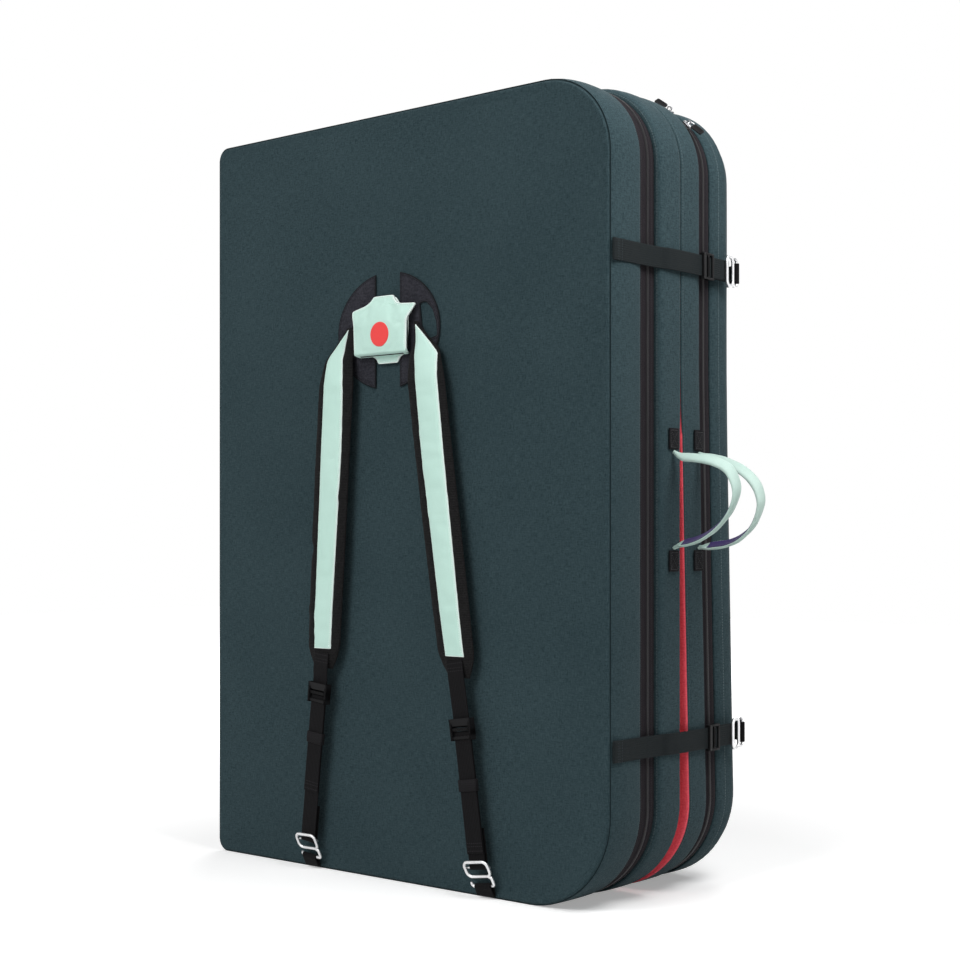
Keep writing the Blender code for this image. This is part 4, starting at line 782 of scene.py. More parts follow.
def zips(half):
    """The zip's tape, and the bead of its closed teeth."""
    zip_band(half, "_zip_band", ZIP_TAPE, 0.3, TAPE, "zip_tape", "_zip_tape")
    bead = []
    for step in range(9):
        angle = math.pi * step / 8
        bead.append((0.0905 - 0.0030 * math.cos(angle), -0.0003 + 0.0019 * math.sin(angle) ** 0.8))
    zip_band(half, "_zip_teeth", bead, 0.97, COIL, "zip_coil", "_zip_coil", 0.5)


# Flat pieces cut to an outline, and swelling

def inset(loop, distance):
    """A closed outline moved in by a distance."""
    loop = np.array(loop, float)
    before, after = loop - np.roll(loop, 1, 0), np.roll(loop, -1, 0) - loop
    area = np.sum(loop[:, 0] * np.roll(loop[:, 1], -1) - loop[:, 1] * np.roll(loop[:, 0], -1))
    inward = []
    for edge in (before, after):
        edge = edge / np.linalg.norm(edge, axis=1)[:, None]
        inward.append(np.stack([-edge[:, 1], edge[:, 0]], 1) * math.copysign(1, area))
    share = np.maximum(0.3, 1 + np.sum(inward[0] * inward[1], axis=1))
    return loop + distance * (inward[0] + inward[1]) / share[:, None]


def rounded(corners, radius, steps=4):
    """A closed outline with each corner turned by a small curve."""
    corners = np.array(corners, float)
    found = []
    for i, corner in enumerate(corners):
        ends = []
        for other in (corners[i - 1], corners[(i + 1) % len(corners)]):
            gap = np.linalg.norm(other - corner)
            ends.append(corner + (other - corner) * min(radius / gap, 0.45))
        for step in range(steps + 1):
            t = step / steps
            found.append((1 - t) ** 2 * ends[0] + 2 * t * (1 - t) * corner + t * t * ends[1])
    return found


def rectangle(a, b):
    """The corners of a rectangle with these half sides."""
    return [(-a, -b), (a, -b), (a, b), (-a, b)]


def resampled(loop, step):
    """The outline again, in pieces no longer than a step."""
    found = []
    for a, b in zip(loop, list(loop[1:]) + [loop[0]]):
        a, b = np.array(a), np.array(b)
        count = max(1, int(np.linalg.norm(b - a) / step + 0.5))
        found += [a + (b - a) * i / count for i in range(count)]
    return found


def plate(name, place, loops, profile, material, sharp=None):
    """A flat piece inside its first outline, with the others as windows. profile pairs each ring's inset and height."""
    bm = bmesh.new()
    layer = bm.loops.layers.uv.new("UVMap")
    where = {}
    ends = [[], []]
    for k, loop in enumerate(loops):
        rings = []
        run = running(np.linalg.norm(np.diff(loop, axis=0), axis=1))
        for inward, out in profile:
            ring = []
            for (a, b), along in zip(inset(loop, -inward if k else inward), run):
                vert = bm.verts.new(spot(place.at(a, b, out)))
                where[vert] = (along, inward)
                ring.append(vert)
            rings.append(ring)
        for low, high in zip(rings, rings[1:]):
            for i, vert in enumerate(low):
                bm.faces.new((low[i - 1], vert, high[i], high[i - 1]))
        for found, ring in zip(ends, (rings[0], rings[-1])):
            found += [bm.edges.get((ring[i - 1], ring[i])) for i in range(len(ring))]
    for edges in ends:
        bmesh.ops.triangle_fill(bm, use_beauty=True, edges=edges)
    bmesh.ops.recalc_face_normals(bm, faces=bm.faces)
    for face in bm.faces:
        for corner in face.loops:
            corner[layer].uv = where[corner.vert]
    mesh = bpy.data.meshes.new(name)
    bm.to_mesh(mesh)
    bm.free()
    return finished(name, mesh, material, sharp)


CLOTH_FRAMES, CLOTH_QUALITY, CLOTH_MASS, CLOTH_STIFFNESS = 20, 6, 0.25, 20


def swollen(piece, pressure, cap, held, grow):
    """The piece blown up by a cloth simulation.

    held names the points that the seams keep, and cap is the most that any moves.
    """
    start = points_of(piece)
    group = piece.vertex_groups.new(name="sewn")
    group.add([int(i) for i in np.nonzero(held(start - np.array(CORNER)))[0]], 1.0, "REPLACE")
    cloth = piece.modifiers.new("cloth", "CLOTH")
    settings = cloth.settings
    settings.quality = CLOTH_QUALITY
    settings.mass = CLOTH_MASS
    settings.use_pressure = True
    settings.uniform_pressure_force = pressure
    settings.tension_stiffness = settings.compression_stiffness = CLOTH_STIFFNESS
    settings.shrink_min = -grow
    settings.vertex_group_mass = "sewn"
    settings.effector_weights.gravity = 0
    cloth.point_cache.frame_end = CLOTH_FRAMES
    scene = bpy.context.scene
    for number in range(1, CLOTH_FRAMES + 1):
        scene.frame_set(number)
    cast = piece.evaluated_get(bpy.context.evaluated_depsgraph_get())
    moved = points_of(cast) - start
    scene.frame_set(1)
    piece.modifiers.remove(cloth)
    piece.vertex_groups.clear()
    length = np.linalg.norm(moved, axis=1)[:, None]
    move_points(piece, start + moved * np.minimum(1, cap / np.maximum(length, 1e-9)))
    piece.data.update()


def divided(piece):
    """The piece with its faces divided once and smoothed."""
    refine = piece.modifiers.new("smooth", "SUBSURF")
    refine.levels = refine.render_levels = 1
    refined = bpy.data.meshes.new_from_object(piece.evaluated_get(bpy.context.evaluated_depsgraph_get()))
    piece.modifiers.clear()
    old, piece.data = piece.data, refined
    bpy.data.meshes.remove(old)
    refined.shade_smooth()


def bumped(x, middle, width):
    """A smooth bump of height 1 round the middle."""
    return np.exp(-((x - middle) / width) ** 2)


def eased(x, start, end):
    """0 before the start and 1 after the end, with a smooth rise between."""
    t = np.clip((np.asarray(x, float) - start) / (end - start), 0, 1)
    return t * t * (3 - 2 * t)


def turned_edge(distance, radius):
    """0 at a cloth's turned edge, and 1 from its radius on."""
    return np.sqrt(np.clip(1 - (1 - np.minimum(distance, radius) / radius) ** 2, 0, 1))


# The harness

HARNESS = Place((HARNESS_X, 0, HARNESS_Z), (0, 0, 1), (0, -1, 0))
PATCH_WINDOWS = {
    "left": ((0.78, 0.02), (0.86, 0.0), (0.91, -0.14), (0.86, -0.22), (0.76, -0.14)),
    "right": ((0.62, 0.40), (0.74, 0.42), (0.86, 0.28), (0.93, 0.06), (0.945, -0.16), (0.80, -0.20), (0.66, 0.02))}


def patch(side, sign):
    """Half an oval of dark cloth, hemmed and stitched down beside the slot, with a window in it."""
    wide, high = PATCH_WIDE, PATCH_HIGH
    start = math.acos(PATCH_SLOT / wide)
    turn = np.linspace(-start, start, 45)
    loop = [(sign * wide * math.cos(a), high * math.sin(a)) for a in turn]
    loop = resampled(loop, 0.004)
    window = [(sign * wide * a, high * b) for a, b in PATCH_WINDOWS[side]]
    window = resampled(rounded(window, 0.003, 3), 0.004)
    profile = [(0.0, 0.0), (0.0, 0.0009), (0.0005, 0.0015), (0.0016, 0.0016), (0.0030, 0.0010), (0.0036, 0.0009),
               (0.0046, 0.0013)]
    made = plate(side + "_harness_panel", HARNESS.moved(0, 0, CLEAR), [loop, window], profile, PATCH)
    placed(made, "front_half", side + "_harness_patch", slot="webbing")


YOKE_SHARES = ((0.31, 1.0), (0.36, 0.87), (0.47, 0.76), (0.60, 0.715), (1.0, 0.70), (0.80, 0.24))
YOKE_LEFT = ((0.31, 1.0), (0.36, 0.87), (0.47, 0.76), (0.60, 0.70), (0.90, 0.62), (0.82, 0.24))
BASE_RIGHT = ((0.28, 0.94), (0.42, 0.72), (0.58, 0.66), (0.66, 0.50), (0.64, -0.60), (0.56, -0.715), (0.46, -0.76),
              (0.39, -0.84), (0.355, -0.955))
BASE_LEFT = ((0.28, 0.94), (0.42, 0.72), (0.60, 0.66), (0.76, 0.50), (0.74, -0.60), (0.50, -0.715), (0.37, -0.76),
             (0.29, -0.84), (0.25, -0.955))
YOKE_WIDE, YOKE_HIGH, YOKE_BASE, YOKE_TOP, YOKE_SHIFT = 0.066, 0.052, 0.0051, 0.0176, -0.004
DISC_PROFILE = ((0.0, 0.00055), (0.008, 0.00055), (0.0150, 0.00055), (0.0172, 0.0006), (0.0182, 0.00045),
                (0.0185, 0.0001), (0.0182, -0.0003))


def yoke_loop(right, left):
    """Both sides of a yoke outline, anticlockwise from the upper left."""
    return [(-YOKE_WIDE * a, YOKE_HIGH * b) for a, b in left] + [(YOKE_WIDE * a, YOKE_HIGH * b) for a, b in right][::-1]


def edge_distance(points, loop):
    """How far each point lies from an outline."""
    points, loop = np.asarray(points, float), np.asarray(loop, float)
    found = np.full(points.shape[:-1], 1.0)
    for a, b in zip(loop, np.roll(loop, -1, 0)):
        run = b - a
        share = np.clip(((points - a) @ run) / (run @ run), 0, 1)
        found = np.minimum(found, np.linalg.norm(points - a - share[..., None] * run, axis=-1))
    return found


def yoke():
    """The flat base, the padded cover drawn over it from the top tab to the block's foot, and the printed disc."""
    base = plate("yoke_base_cloth", HARNESS, [resampled(rounded(yoke_loop(BASE_RIGHT, BASE_LEFT), 0.0035), 0.003)],
                 [(0.0004, 0.0021), (0.0, 0.0030), (0.0, 0.0042), (0.0006, 0.0050), (0.0018, 0.0051), (0.0030, 0.0046),
                  (0.0042, 0.0050)], MINT_EDGED)
    placed(base, "front_half", "yoke_base", slot="mint_fabric")
    foot = -0.0385
    sides = yoke_loop(YOKE_SHARES, YOKE_LEFT)
    loop = np.array(rounded([(-0.052, foot), (0.052, foot)] + sides[6:] + sides[:6], 0.0045))
    heights = np.unique(np.round(np.concatenate([
        foot + np.array([0, 0.0004, 0.0010, 0.0018, 0.0028, 0.0042, 0.0060]), np.arange(foot + 0.008, 0.034, 0.0024),
        np.arange(0.034, 0.0395, 0.0006), np.arange(0.0400, 0.0505, 0.0015),
        YOKE_HIGH - np.array([0.0010, 0.0004, 0.0])]), 6))
    reach = []
    for sign in (-1, 1):
        edge = loop[sign * loop[:, 0] > 0]
        edge = edge[np.argsort(edge[:, 1])]
        reach.append(np.interp(heights, edge[:, 1], np.abs(edge[:, 0])))
    share = np.concatenate([[-1, -0.994, -0.985, -0.97, -0.945, -0.91], np.linspace(-0.86, 0.86, 33),
                            [0.91, 0.945, 0.97, 0.985, 0.994, 1]])
    x = np.where(share < 0, reach[0][:, None], reach[1][:, None]) * share[None]
    z = np.repeat(heights[:, None], len(share), 1)
    distance = edge_distance(np.stack([x, z], -1), loop)
    block = eased(0.056 - z, 0.0, 0.036) * eased(z - foot, -0.0001, 0.0045) ** 0.5
    side = 1 - np.where(x > 0, 0.5, 0.1) * eased(z, 0.010, 0.036) * eased(np.abs(x), 0.030, 0.064)
    side = side - np.where(x > 0, 0.16, 0.06) * eased(np.abs(x), 0.040, 0.052) ** 2
    crown = 0.0012 * (1 - (x / 0.052) ** 2) * (1 - ((z + 0.004) / 0.05) ** 2)
    rise = (YOKE_TOP - YOKE_BASE - 0.0022) * block * side
    hem = 0.0010 * turned_edge(distance, 0.0011) - 0.0005 * bumped(distance, 0.0030, 0.0009)
    top = YOKE_BASE + CLEAR + rise + hem + crown * block * side
    low = np.maximum(top - 0.0024 - 0.0030 * bumped(z, foot, 0.006), YOKE_BASE + CLEAR * 0.5)
    distance = distance + 0.004 * bumped(z, foot, 0.006)
    x = x + YOKE_SHIFT
    sheet = Sheet()
    for out in (top, low):
        grid = [[HARNESS.at(a, b, c) for a, b, c in zip(*row)] for row in zip(x, z, out)]
        sheet.grid(grid, np.stack([z + x, distance], -1))
    rim = [(slice(None), 0), (slice(None), -1), (0, slice(None)), (-1, slice(None))]
    for index in rim:
        edge = [[HARNESS.at(a, b, c) for a, b, c in zip(x[index], z[index], out[index])] for out in (low, top)]
        sheet.grid(edge, np.stack([np.stack([z[index] + x[index], distance[index]], -1)] * 2))
    made = sheet.build("yoke_cover", MINT_EDGED, (HARNESS_X, 0, HARNESS_Z - 0.004))

    def sewn(points):
        flat = np.stack([points[:, 0] - HARNESS_X - YOKE_SHIFT, points[:, 2] - HARNESS_Z], -1)
        return edge_distance(flat, loop) < 0.0045

    swollen(made, 2.0, 0.0018, sewn, 0.012)
    placed(made, "front_half", "yoke_pad", slot="mint_fabric", padded=0.8)
    # Painted shade: a dark sheet of strap padding closes the block's open sides and foot, standing in for the shadow
    # under the padded block.
    corners = [(-0.0495, foot + 0.0012), (0.0495, foot + 0.0012), (0.0475, 0.030), (-0.0475, 0.030)]
    inside = resampled(rounded(corners, 0.006), 0.003)
    profile = [(0.0, YOKE_BASE + 0.0001), (-0.0008, 0.0085), (0.0002, 0.0120)]
    underside_shade = plate("yoke_underside_shade", HARNESS.moved(YOKE_SHIFT, 0, 0), [inside], profile, PADDING)
    placed(underside_shade, "front_half", slot="padding")
    top_at = surface(made)
    sheet = Sheet()
    turn = np.linspace(0, 2 * math.pi, 49)
    rings = []
    for radius, lift in DISC_PROFILE:
        ring = []
        for a in turn:
            place = HARNESS.at(radius * math.cos(a), radius * math.sin(a) - 0.007, 0)
            hit = top_at.ray_cast(spot(place) - Vector((0, 0.1, 0)), Vector((0, 1, 0)))[0]
            ring.append(hit - CORNER - Vector((0, lift, 0)))
        rings.append(ring)
    sheet.grid(rings, [[(radius, a) for a in turn] for radius, _ in DISC_PROFILE])
    placed(sheet.build("yoke_print", PRINT), "front_half", "yoke_disc", slot="coral_print")


STRAPS = {
    "left": {"side": -1, "shoulder": 0.0935, "foot": 0.1235, "hook": 0.154, "hook_turn": 0.15,
             "run": (0.1404, 0.2586, 0.5689),
             "facing": np.array([(-0.013, -0.04, 0.0), (0.018, -0.14, 0.46), (0.060, -0.42, 1.0),
                                 (0.094, -0.66, 1.02), (0.165, -0.92, 1.0), (0.344, -1.08, 0.93),
                                 (0.94, -0.88, 0.78)])},
    "right": {"side": 1, "shoulder": 0.0825, "foot": 0.1515, "hook": 0.190, "hook_turn": 0.0,
              "run": (0.2686, 0.2944, 0.6514),
              "facing": np.array([(-0.009, -0.96, -0.92), (0.078, -0.80, 1.24), (0.12, -0.76, 1.20),
                                  (0.35, -0.88, 1.08), (0.94, -0.80, 0.84)])},
}
STRAP_LENGTH, STRAP_TOP, STRAP_START = 0.512, 0.080, -0.018
STRAP_WIDTH, STRAP_THICK, STRAP_OFF = 0.072, 0.014, 0.008
FACING_END = 0.94
# Share of the strap's length, then of its width, its thickness and its standoff
SECTIONS = np.array([
    (0, 0.52, 0.30, 0), (0.035, 0.62, 0.55, 0.12), (0.08, 0.82, 0.90, 0.5), (0.15, 1, 1, 0.9), (0.35, 1, 1, 1),
    (0.6, 1, 1, 1), (0.82, 0.97, 1, 1), (0.93, 0.94, 0.9, 1), (0.97, 0.76, 0.72, 1), (1, 0.5, 0.5, 1.1)])
FACING_HALF = 0.0215


def table_at(table, share, column, soft=0.012):
    """A column of a table at a share, with the table's corners eased."""
    shares = np.clip(np.asarray(share, float)[..., None] + np.linspace(-soft, soft, 5), table[0, 0], table[-1, 0])
    return np.interp(shares, table[:, 0], table[:, column]).mean(-1)


def strap_middle(strap, share):
    """The strap's middle line: x, and z, at shares of its length."""
    share = np.asarray(share, float)
    early = STRAP_TOP + (strap["shoulder"] - STRAP_TOP) * share / 0.08
    late = strap["shoulder"] + (strap["foot"] - strap["shoulder"]) * (share - 0.08) / 0.92
    return HARNESS_X + strap["side"] * np.where(share < 0.08, early, late), HARNESS_Z - STRAP_LENGTH * share


def facing_edges(strap, share):
    """Where the facing's inner and outer edges run, as x."""
    half = FACING_HALF * strap["side"]
    middle = strap_middle(strap, share)[0]
    return [middle + half * table_at(strap["facing"], share, column, 0.004) for column in (1, 2)]


def hinged(piece):
    """The piece's placement is applied to its points."""
    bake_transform(piece)


def strap_body(name, strap):
    """The padded strap, sewn flat along the facing's two edges and round its own."""
    shares = np.concatenate([np.linspace(STRAP_START, 0.1, 26), np.linspace(0.1, 0.9, 84)[1:-1],
                             np.linspace(0.9, 1, 18)])
    width = STRAP_WIDTH * table_at(SECTIONS, shares, 1)
    thick = STRAP_THICK * table_at(SECTIONS, shares, 2)
    back = np.maximum(STRAP_OFF * table_at(SECTIONS, shares, 3), 0.0021)
    x, z = strap_middle(strap, shares)
    u = np.sin(np.radians(np.linspace(-90, 90, 27)))
    face = (1 - np.abs(u) ** 3.0) ** 0.55
    inner, outer = (strap["side"] * (edge - x) for edge in facing_edges(strap, shares))
    slack = eased(shares, 0.05, 0.1)
    inner = np.maximum(width / 2, 0.0035 - inner) * (1 - slack) + width / 2 * slack
    outer = np.minimum(width / 2, outer + 0.0045 + 0.012 * slack)
    low, high = (inner, outer) if strap["side"] > 0 else (outer, inner)
    front = np.stack([(x + (high - low) / 2)[:, None] + u * (high + low)[:, None] / 2,
                      -(back + thick / 2)[:, None] - face * (thick / 2)[:, None] * 0.97,
                      np.repeat(z[:, None], len(u), 1)], -1)
    rear = front[:, ::-1][:, 1:-1].copy()
    rear[..., 1] = -2 * (back + thick / 2)[:, None] - rear[..., 1]
    ring = np.concatenate([front, rear, front[:, :1]], 1)
    sheet = Sheet()
    run = (shares * STRAP_LENGTH)[:, None] + np.zeros(ring.shape[1])
    around = np.linspace(0, 0.15, ring.shape[1])[None] + np.zeros((len(shares), 1))
    sheet.grid(ring, np.stack([around, run], -1))
    half = len(u)
    for row in (0, -1):
        cap = np.stack([ring[row, :half], np.concatenate([ring[row, half - 1:], ring[row, :1]])[::-1][:half]])
        sheet.grid(cap, np.zeros((2, half, 2)))
    made = sheet.build(name + "_padding", PADDING, (x[50], -0.015, z[50]), weld=1e-5)

    def seam(points):
        """How near each point lies to the facing's edges, on the strap's front."""
        share = np.clip((HARNESS_Z - points[:, 2]) / STRAP_LENGTH, STRAP_START, FACING_END)
        found = [np.abs(points[:, 0] - edge) for edge in facing_edges(strap, share)]
        return np.minimum(*found)

    def sewn(points):
        share = np.clip((HARNESS_Z - points[:, 2]) / STRAP_LENGTH, 0, 1)
        middle = strap_middle(strap, share)[0]
        edge = np.abs(np.abs(points[:, 0] - middle) - STRAP_WIDTH * table_at(SECTIONS, share, 1) / 2) < 0.0006
        return (seam(points) < 0.0016) | edge | (share < 0.1) | (share > 0.985)

    swollen(made, 3.0, 0.0026, sewn, 0.012)
    divided(made)
    points = points_of(made) - np.array(CORNER)
    share = np.clip((HARNESS_Z - points[:, 2]) / STRAP_LENGTH, 0, 1)
    depth = np.interp(share, shares, back + thick / 2)
    on_front = eased(-points[:, 1] - depth, 0.001, 0.003)
    points[:, 1] += on_front * 0.0014 * bumped(seam(points), 0.0, 0.0024) * eased(0.95 - share, 0, 0.02)
    move_points(made, points + np.array(CORNER))
    placed(made, None, name + "_strap_pad", slot="padding", padded=0.8)
    hinged(made)
    return surface(made)


def strap_face(name, strap, pad):
    """The mint facing, laid over the padding with its edges turned under."""
    first = strap["facing"][0, 0] + 0.001
    shares = np.concatenate([first + np.array([0, 0.003, 0.007, 0.012, 0.017]),
                             np.linspace(first + 0.023, 0.934, 112), [0.9365, 0.9385, FACING_END]])
    inner, outer = facing_edges(strap, shares)
    _, z = strap_middle(strap, shares)
    span = np.abs(outer - inner)[:, None]
    marks = np.array([0, 0.0005, 0.0012, 0.0021, 0.0031, 0.0045, 0.008, 0.013])
    marks = np.minimum(marks[None], span * np.linspace(0, 0.46, len(marks))[None])
    across = np.concatenate([marks, span / 2, (span - marks)[:, ::-1]], 1)
    sign = np.sign(outer - inner)[:, None]
    x = inner[:, None] + sign * across
    end = HARNESS_Z - STRAP_LENGTH * FACING_END
    distance = np.minimum(np.minimum(across, span - across), np.abs(z - end)[:, None])
    lift = 0.0014 * turned_edge(distance, 0.0014) - 0.0006 * bumped(distance, 0.0032, 0.0009) - 0.0003
    rows = {"front": [], "back": []}
    known = [-STRAP_THICK]
    for i in range(len(shares)):
        hits = []
        for a in x[i]:
            hit = pad.ray_cast(spot((a, -0.1, z[i])), Vector((0, 1, 0)))[0]
            hits.append((hit - CORNER).y if hit else None)
        known = [h for h in hits if h is not None] or known
        hits = [h if h is not None else max(known) for h in hits]
        rows["front"].append([(a, h - l, z[i]) for a, h, l in zip(x[i], hits, lift[i])])
        rows["back"].append([(a, h + 0.0003, z[i]) for a, h in zip(x[i], hits)])
    sheet = Sheet()
    uv = np.stack([np.repeat(z[:, None], x.shape[1], 1), distance], -1)
    sheet.grid(rows["front"], uv)
    sheet.grid(rows["back"], uv)
    made = sheet.build(name + "_facing", MINT_EDGED, (x[50].mean(), 0.0, z[50]), weld=1e-5)
    placed(made, None, name + "_strap_facing", slot="mint_fabric")
    hinged(made)


def dense(path, step):
    """The path with its long runs divided."""
    path = [Vector(p) for p in path]
    found = []
    for a, b in zip(path, path[1:]):
        count = max(1, int((b - a).length / step))
        found += [a + (b - a) * i / count for i in range(count)]
    return found + [path[-1]]


def strap_on(name, node, path, across, body, material):
    """Webbing along a path."""
    sheet = Sheet()
    swept(sheet, path, across, flat_section(WEB, WEB_THICK))
    placed(sheet.build(name, material, sharp=60), body, node, slot="webbing")


def ladder_buckle(name, body, node, place, layers, bars):
    """A moulded ladder-lock: two side rails, bars over and under the webbing, and a raised lip to pull it open."""
    channel = layers * (WEB_THICK + 2 * CLEAR)
    wide, long, height = BUCKLE_WIDE, BUCKLE_LONG, channel + 0.0048
    bm = bmesh.new()

    def block(a, b, c, size, bevel=0.0008, tilt=0.0):
        made = bmesh.ops.create_cube(bm, size=1)["verts"]
        for v in made:
            local = Vector((v.co.x * size[0], v.co.y * size[1], v.co.z * size[2] + v.co.y * tilt))
            v.co = spot(place.at(a + local.x, b + local.y, c + local.z))
        edges = list({e for v in made for e in v.link_edges})
        bmesh.ops.bevel(bm, geom=edges, offset=bevel, segments=3, profile=0.6, affect="EDGES")

    rail = (wide - WEB - 4 * CLEAR) / 2
    for sign in (-1, 1):
        block(sign * (wide - rail) / 2, 0, 0, (rail, long, height), 0.0011)
        block(sign * (wide - rail * 0.8) / 2, 0, 0, (rail * 0.8, long * 0.55, height + 0.0009), 0.0008)
    level = channel / 2 + 0.0012
    span = wide - rail
    for b, width in bars:
        block(0, b, level, (span, width, 0.0023))
        block(0, b, -level, (span, width, 0.0021))
    block(0, -long / 2 + 0.0042, level + 0.0009, (wide - 0.001, 0.0088, 0.0022), 0.0009, -0.0016)
    for k in range(5):
        block(0, 0.0016 - 0.0008 * k, level + 0.0012, (span - 0.008, 0.0004, 0.0006), 0.00015)
    mesh = bpy.data.meshes.new(name)
    bmesh.ops.recalc_face_normals(bm, faces=bm.faces)
    bm.to_mesh(mesh)
    bm.free()
    placed(finished(name, mesh, PLASTIC, 40), body, node, slot="buckle_plastic")


def webbing_keeper(name, body, node, place, layers):
    """A short elastic sleeve round the webbing and its tail, with its seam at the side."""
    inside = layers * (WEB_THICK + 2 * CLEAR)
    half, thin = KEEPER_LONG / 2, KEEPER_WALL / 2
    loop = rounded(rectangle((WEB + 2 * CLEAR) / 2 + thin, inside / 2 + thin), 0.0018)
    path = [place.at(a, 0, c) for a, c in resampled(loop, 0.0016)]
    section = [(-half, 0), (-half + 0.0004, thin * 0.9), (-half + 0.0016, thin), (-half + 0.0026, thin * 0.7),
               (0, thin), (half - 0.0026, thin * 0.7), (half - 0.0016, thin), (half - 0.0004, thin * 0.9), (half, 0),
               (half - 0.0006, -thin * 0.8), (-half + 0.0006, -thin * 0.8)]
    sheet = Sheet()
    swept(sheet, path, place.along, section, closed=True)
    placed(sheet.build(name, ELASTIC, place.origin), body, node, slot="webbing")


def wire_hook(name, body, node, place, side=1, turned=0.0):
    """A flat hook: a closed ring, an open arm that leaves it on one side, and the crossbar in the webbing's turn.

    turned is the angle by which it lies aslant in its own plane.
    """
    place = Place(place.origin, place.along * math.cos(turned) - place.across * math.sin(turned), place.out)
    wide, long, corner, reach = HOOK_WIDE / 2, HOOK_LONG / 2, HOOK_CORNER, HOOK_REACH
    ring = []
    for sign_a, sign_b, start in ((1, 1, 0), (-1, 1, 90), (-1, -1, 180), (1, -1, 270)):
        centre = (sign_a * (wide - corner), sign_b * (long - corner), 0)
        ring += arc(centre, (1, 0, 0), (0, 1, 0), corner, start, start + 90, 8)
    leg, turn = wide - HOOK_WIRE / 2, 0.004
    arm = [(leg - turn - 0.001, long, 0), (leg - 0.0012, long + 0.0026, 0), (leg, long + turn, 0),
           (leg, reach - turn, 0)]
    arm += arc((leg - turn, reach - turn, 0), (1, 0, 0), (0, 1, 0), turn, 0, 90, 6)[1:]
    arm += arc((turn - leg, reach - turn, 0), (1, 0, 0), (0, 1, 0), turn, 90, 180, 6)
    arm += [(-leg, reach - 0.0062, 0)]
    bar = [(-wide, 0, 0), (-wide, 0, -0.0036), (-wide + 0.0014, 0, -BAR_BACK), (wide - 0.0014, 0, -BAR_BACK),
           (wide, 0, -0.0036), (wide, 0, 0)]
    sheet = Sheet()
    tube(sheet, [place.at(*p) for p in ring], HOOK_WIRE, 14, True)
    tube(sheet, [place.at(side * a, b, c) for a, b, c in arm], HOOK_WIRE, 14)
    tip = place.at(-side * leg, reach - 0.0062, 0)
    tube(sheet, [tip, tip - place.along * 0.0009, tip - place.along * 0.0014], HOOK_WIRE * 0.7, 10)
    tube(sheet, [place.at(*p) for p in bar], BAR_RADIUS, 10)
    placed(sheet.build(name, HOOK, sharp=50), body, node, slot="hook_metal")


def shoulder_strap(name, strap):
    """A padded strap with its webbing, buckle, keeper and hook, and the loop in the seam that the hook holds."""
    body = name + "_strap"
    pad = strap_body(name, strap)
    strap_face(name, strap, pad)
    foot = Vector((strap_middle(strap, 1.0)[0], 0, HARNESS_Z - STRAP_LENGTH))
    hook_place = Vector((HARNESS_X + strap["side"] * strap["hook"], 0, SHOULDER_HOOK_Z))
    lower = Place(foot, hook_place - foot, (0, -1, 0))
    gap, layer = BAR_BEND, WEB_THICK + 2 * CLEAR
    place = Place(hook_place + Vector((0, -SHOULDER_HOOK_OUT, 0)), lower.along + Vector((0, SHOULDER_HOOK_TILT, 0)),
                  (0, -1, 0))
    bar = place.at(0, 0, -BAR_BACK)
    main = -bar.y + gap
    buckle, keeper, tail = (share * (hook_place - foot).length for share in strap["run"])
    thick, off = (float(table_at(SECTIONS, 0.95, column, 0)) for column in (2, 3))
    front = STRAP_THICK * thick + STRAP_OFF * off + CLEAR + WEB_THICK / 2
    end, out = buckle - 0.0028, main + layer / 2
    mouth = end - 0.0145
    path = [lower.at(0, -0.0256, front), lower.at(0, -0.012, front), lower.at(0, -0.004, front),
            lower.at(0, min(0.004, mouth / 3), front + (out - front) * 0.12),
            lower.at(0, mouth * 0.62, front + (out - front) * 0.8),
            lower.at(0, mouth, out), lower.at(0, (mouth + end) / 2, out), lower.at(0, end, out)]
    strap_on(name + "_upper_webbing", name + "_strap_webbing", curve_through(path, 0.004), lower.across, body,
             WEBBING_SEWN)
    top = buckle + 0.0025 + CLEAR + WEB_THICK / 2 + layer / 2
    turn = (bar - lower.origin).dot(lower.along)
    path = [lower.at(0, buckle + tail, main + layer)]
    path += arc(lower.at(0, top, main + layer / 2), lower.out, -lower.along, layer / 2, 0, 180, 8)
    path += arc(lower.at(0, turn, main - gap), lower.out, lower.along, gap, 0, 180, 10)
    path += [lower.at(0, turn - FOLD_BACK, main - 2 * gap)]
    strap_on(name + "_lower_webbing", name + "_strap_adjuster", dense(path, 0.006), lower.across, body, WEBBING_SEWN)
    middle = main + layer / 2
    bars = ((-0.0118, 0.0044), (0.0, 0.0046), (0.0118, 0.0044))
    ladder_buckle(name + "_ladder_buckle", body, name + "_strap_buckle", lower.moved(0, buckle, middle), 2, bars)
    webbing_keeper(name + "_elastic_keeper", name + "_keeper", name + "_strap_keeper",
                   lower.moved(0, buckle + keeper, middle), 2)
    wire_hook(name + "_wire_hook", name + "_hook", name + "_shoulder_hook", place, -1, strap["hook_turn"])
    end = place.at(0, HOOK_REACH, 0)
    gap = HOOK_WIRE + CLEAR + WEB_THICK / 2
    out, up = Vector((0, -1, 0)), place.across.cross(Vector((0, -1, 0)))
    path = [Vector((end.x, -0.0011, 0.003))] + arc(end, -out, up, gap, 0, 205, 14) + [Vector((end.x, -0.0042, 0.003))]
    strap_on(name + "_seam_loop", name + "_hook_loop", dense(path, 0.004), place.across, "front_half", WEBBING)


# The closure straps

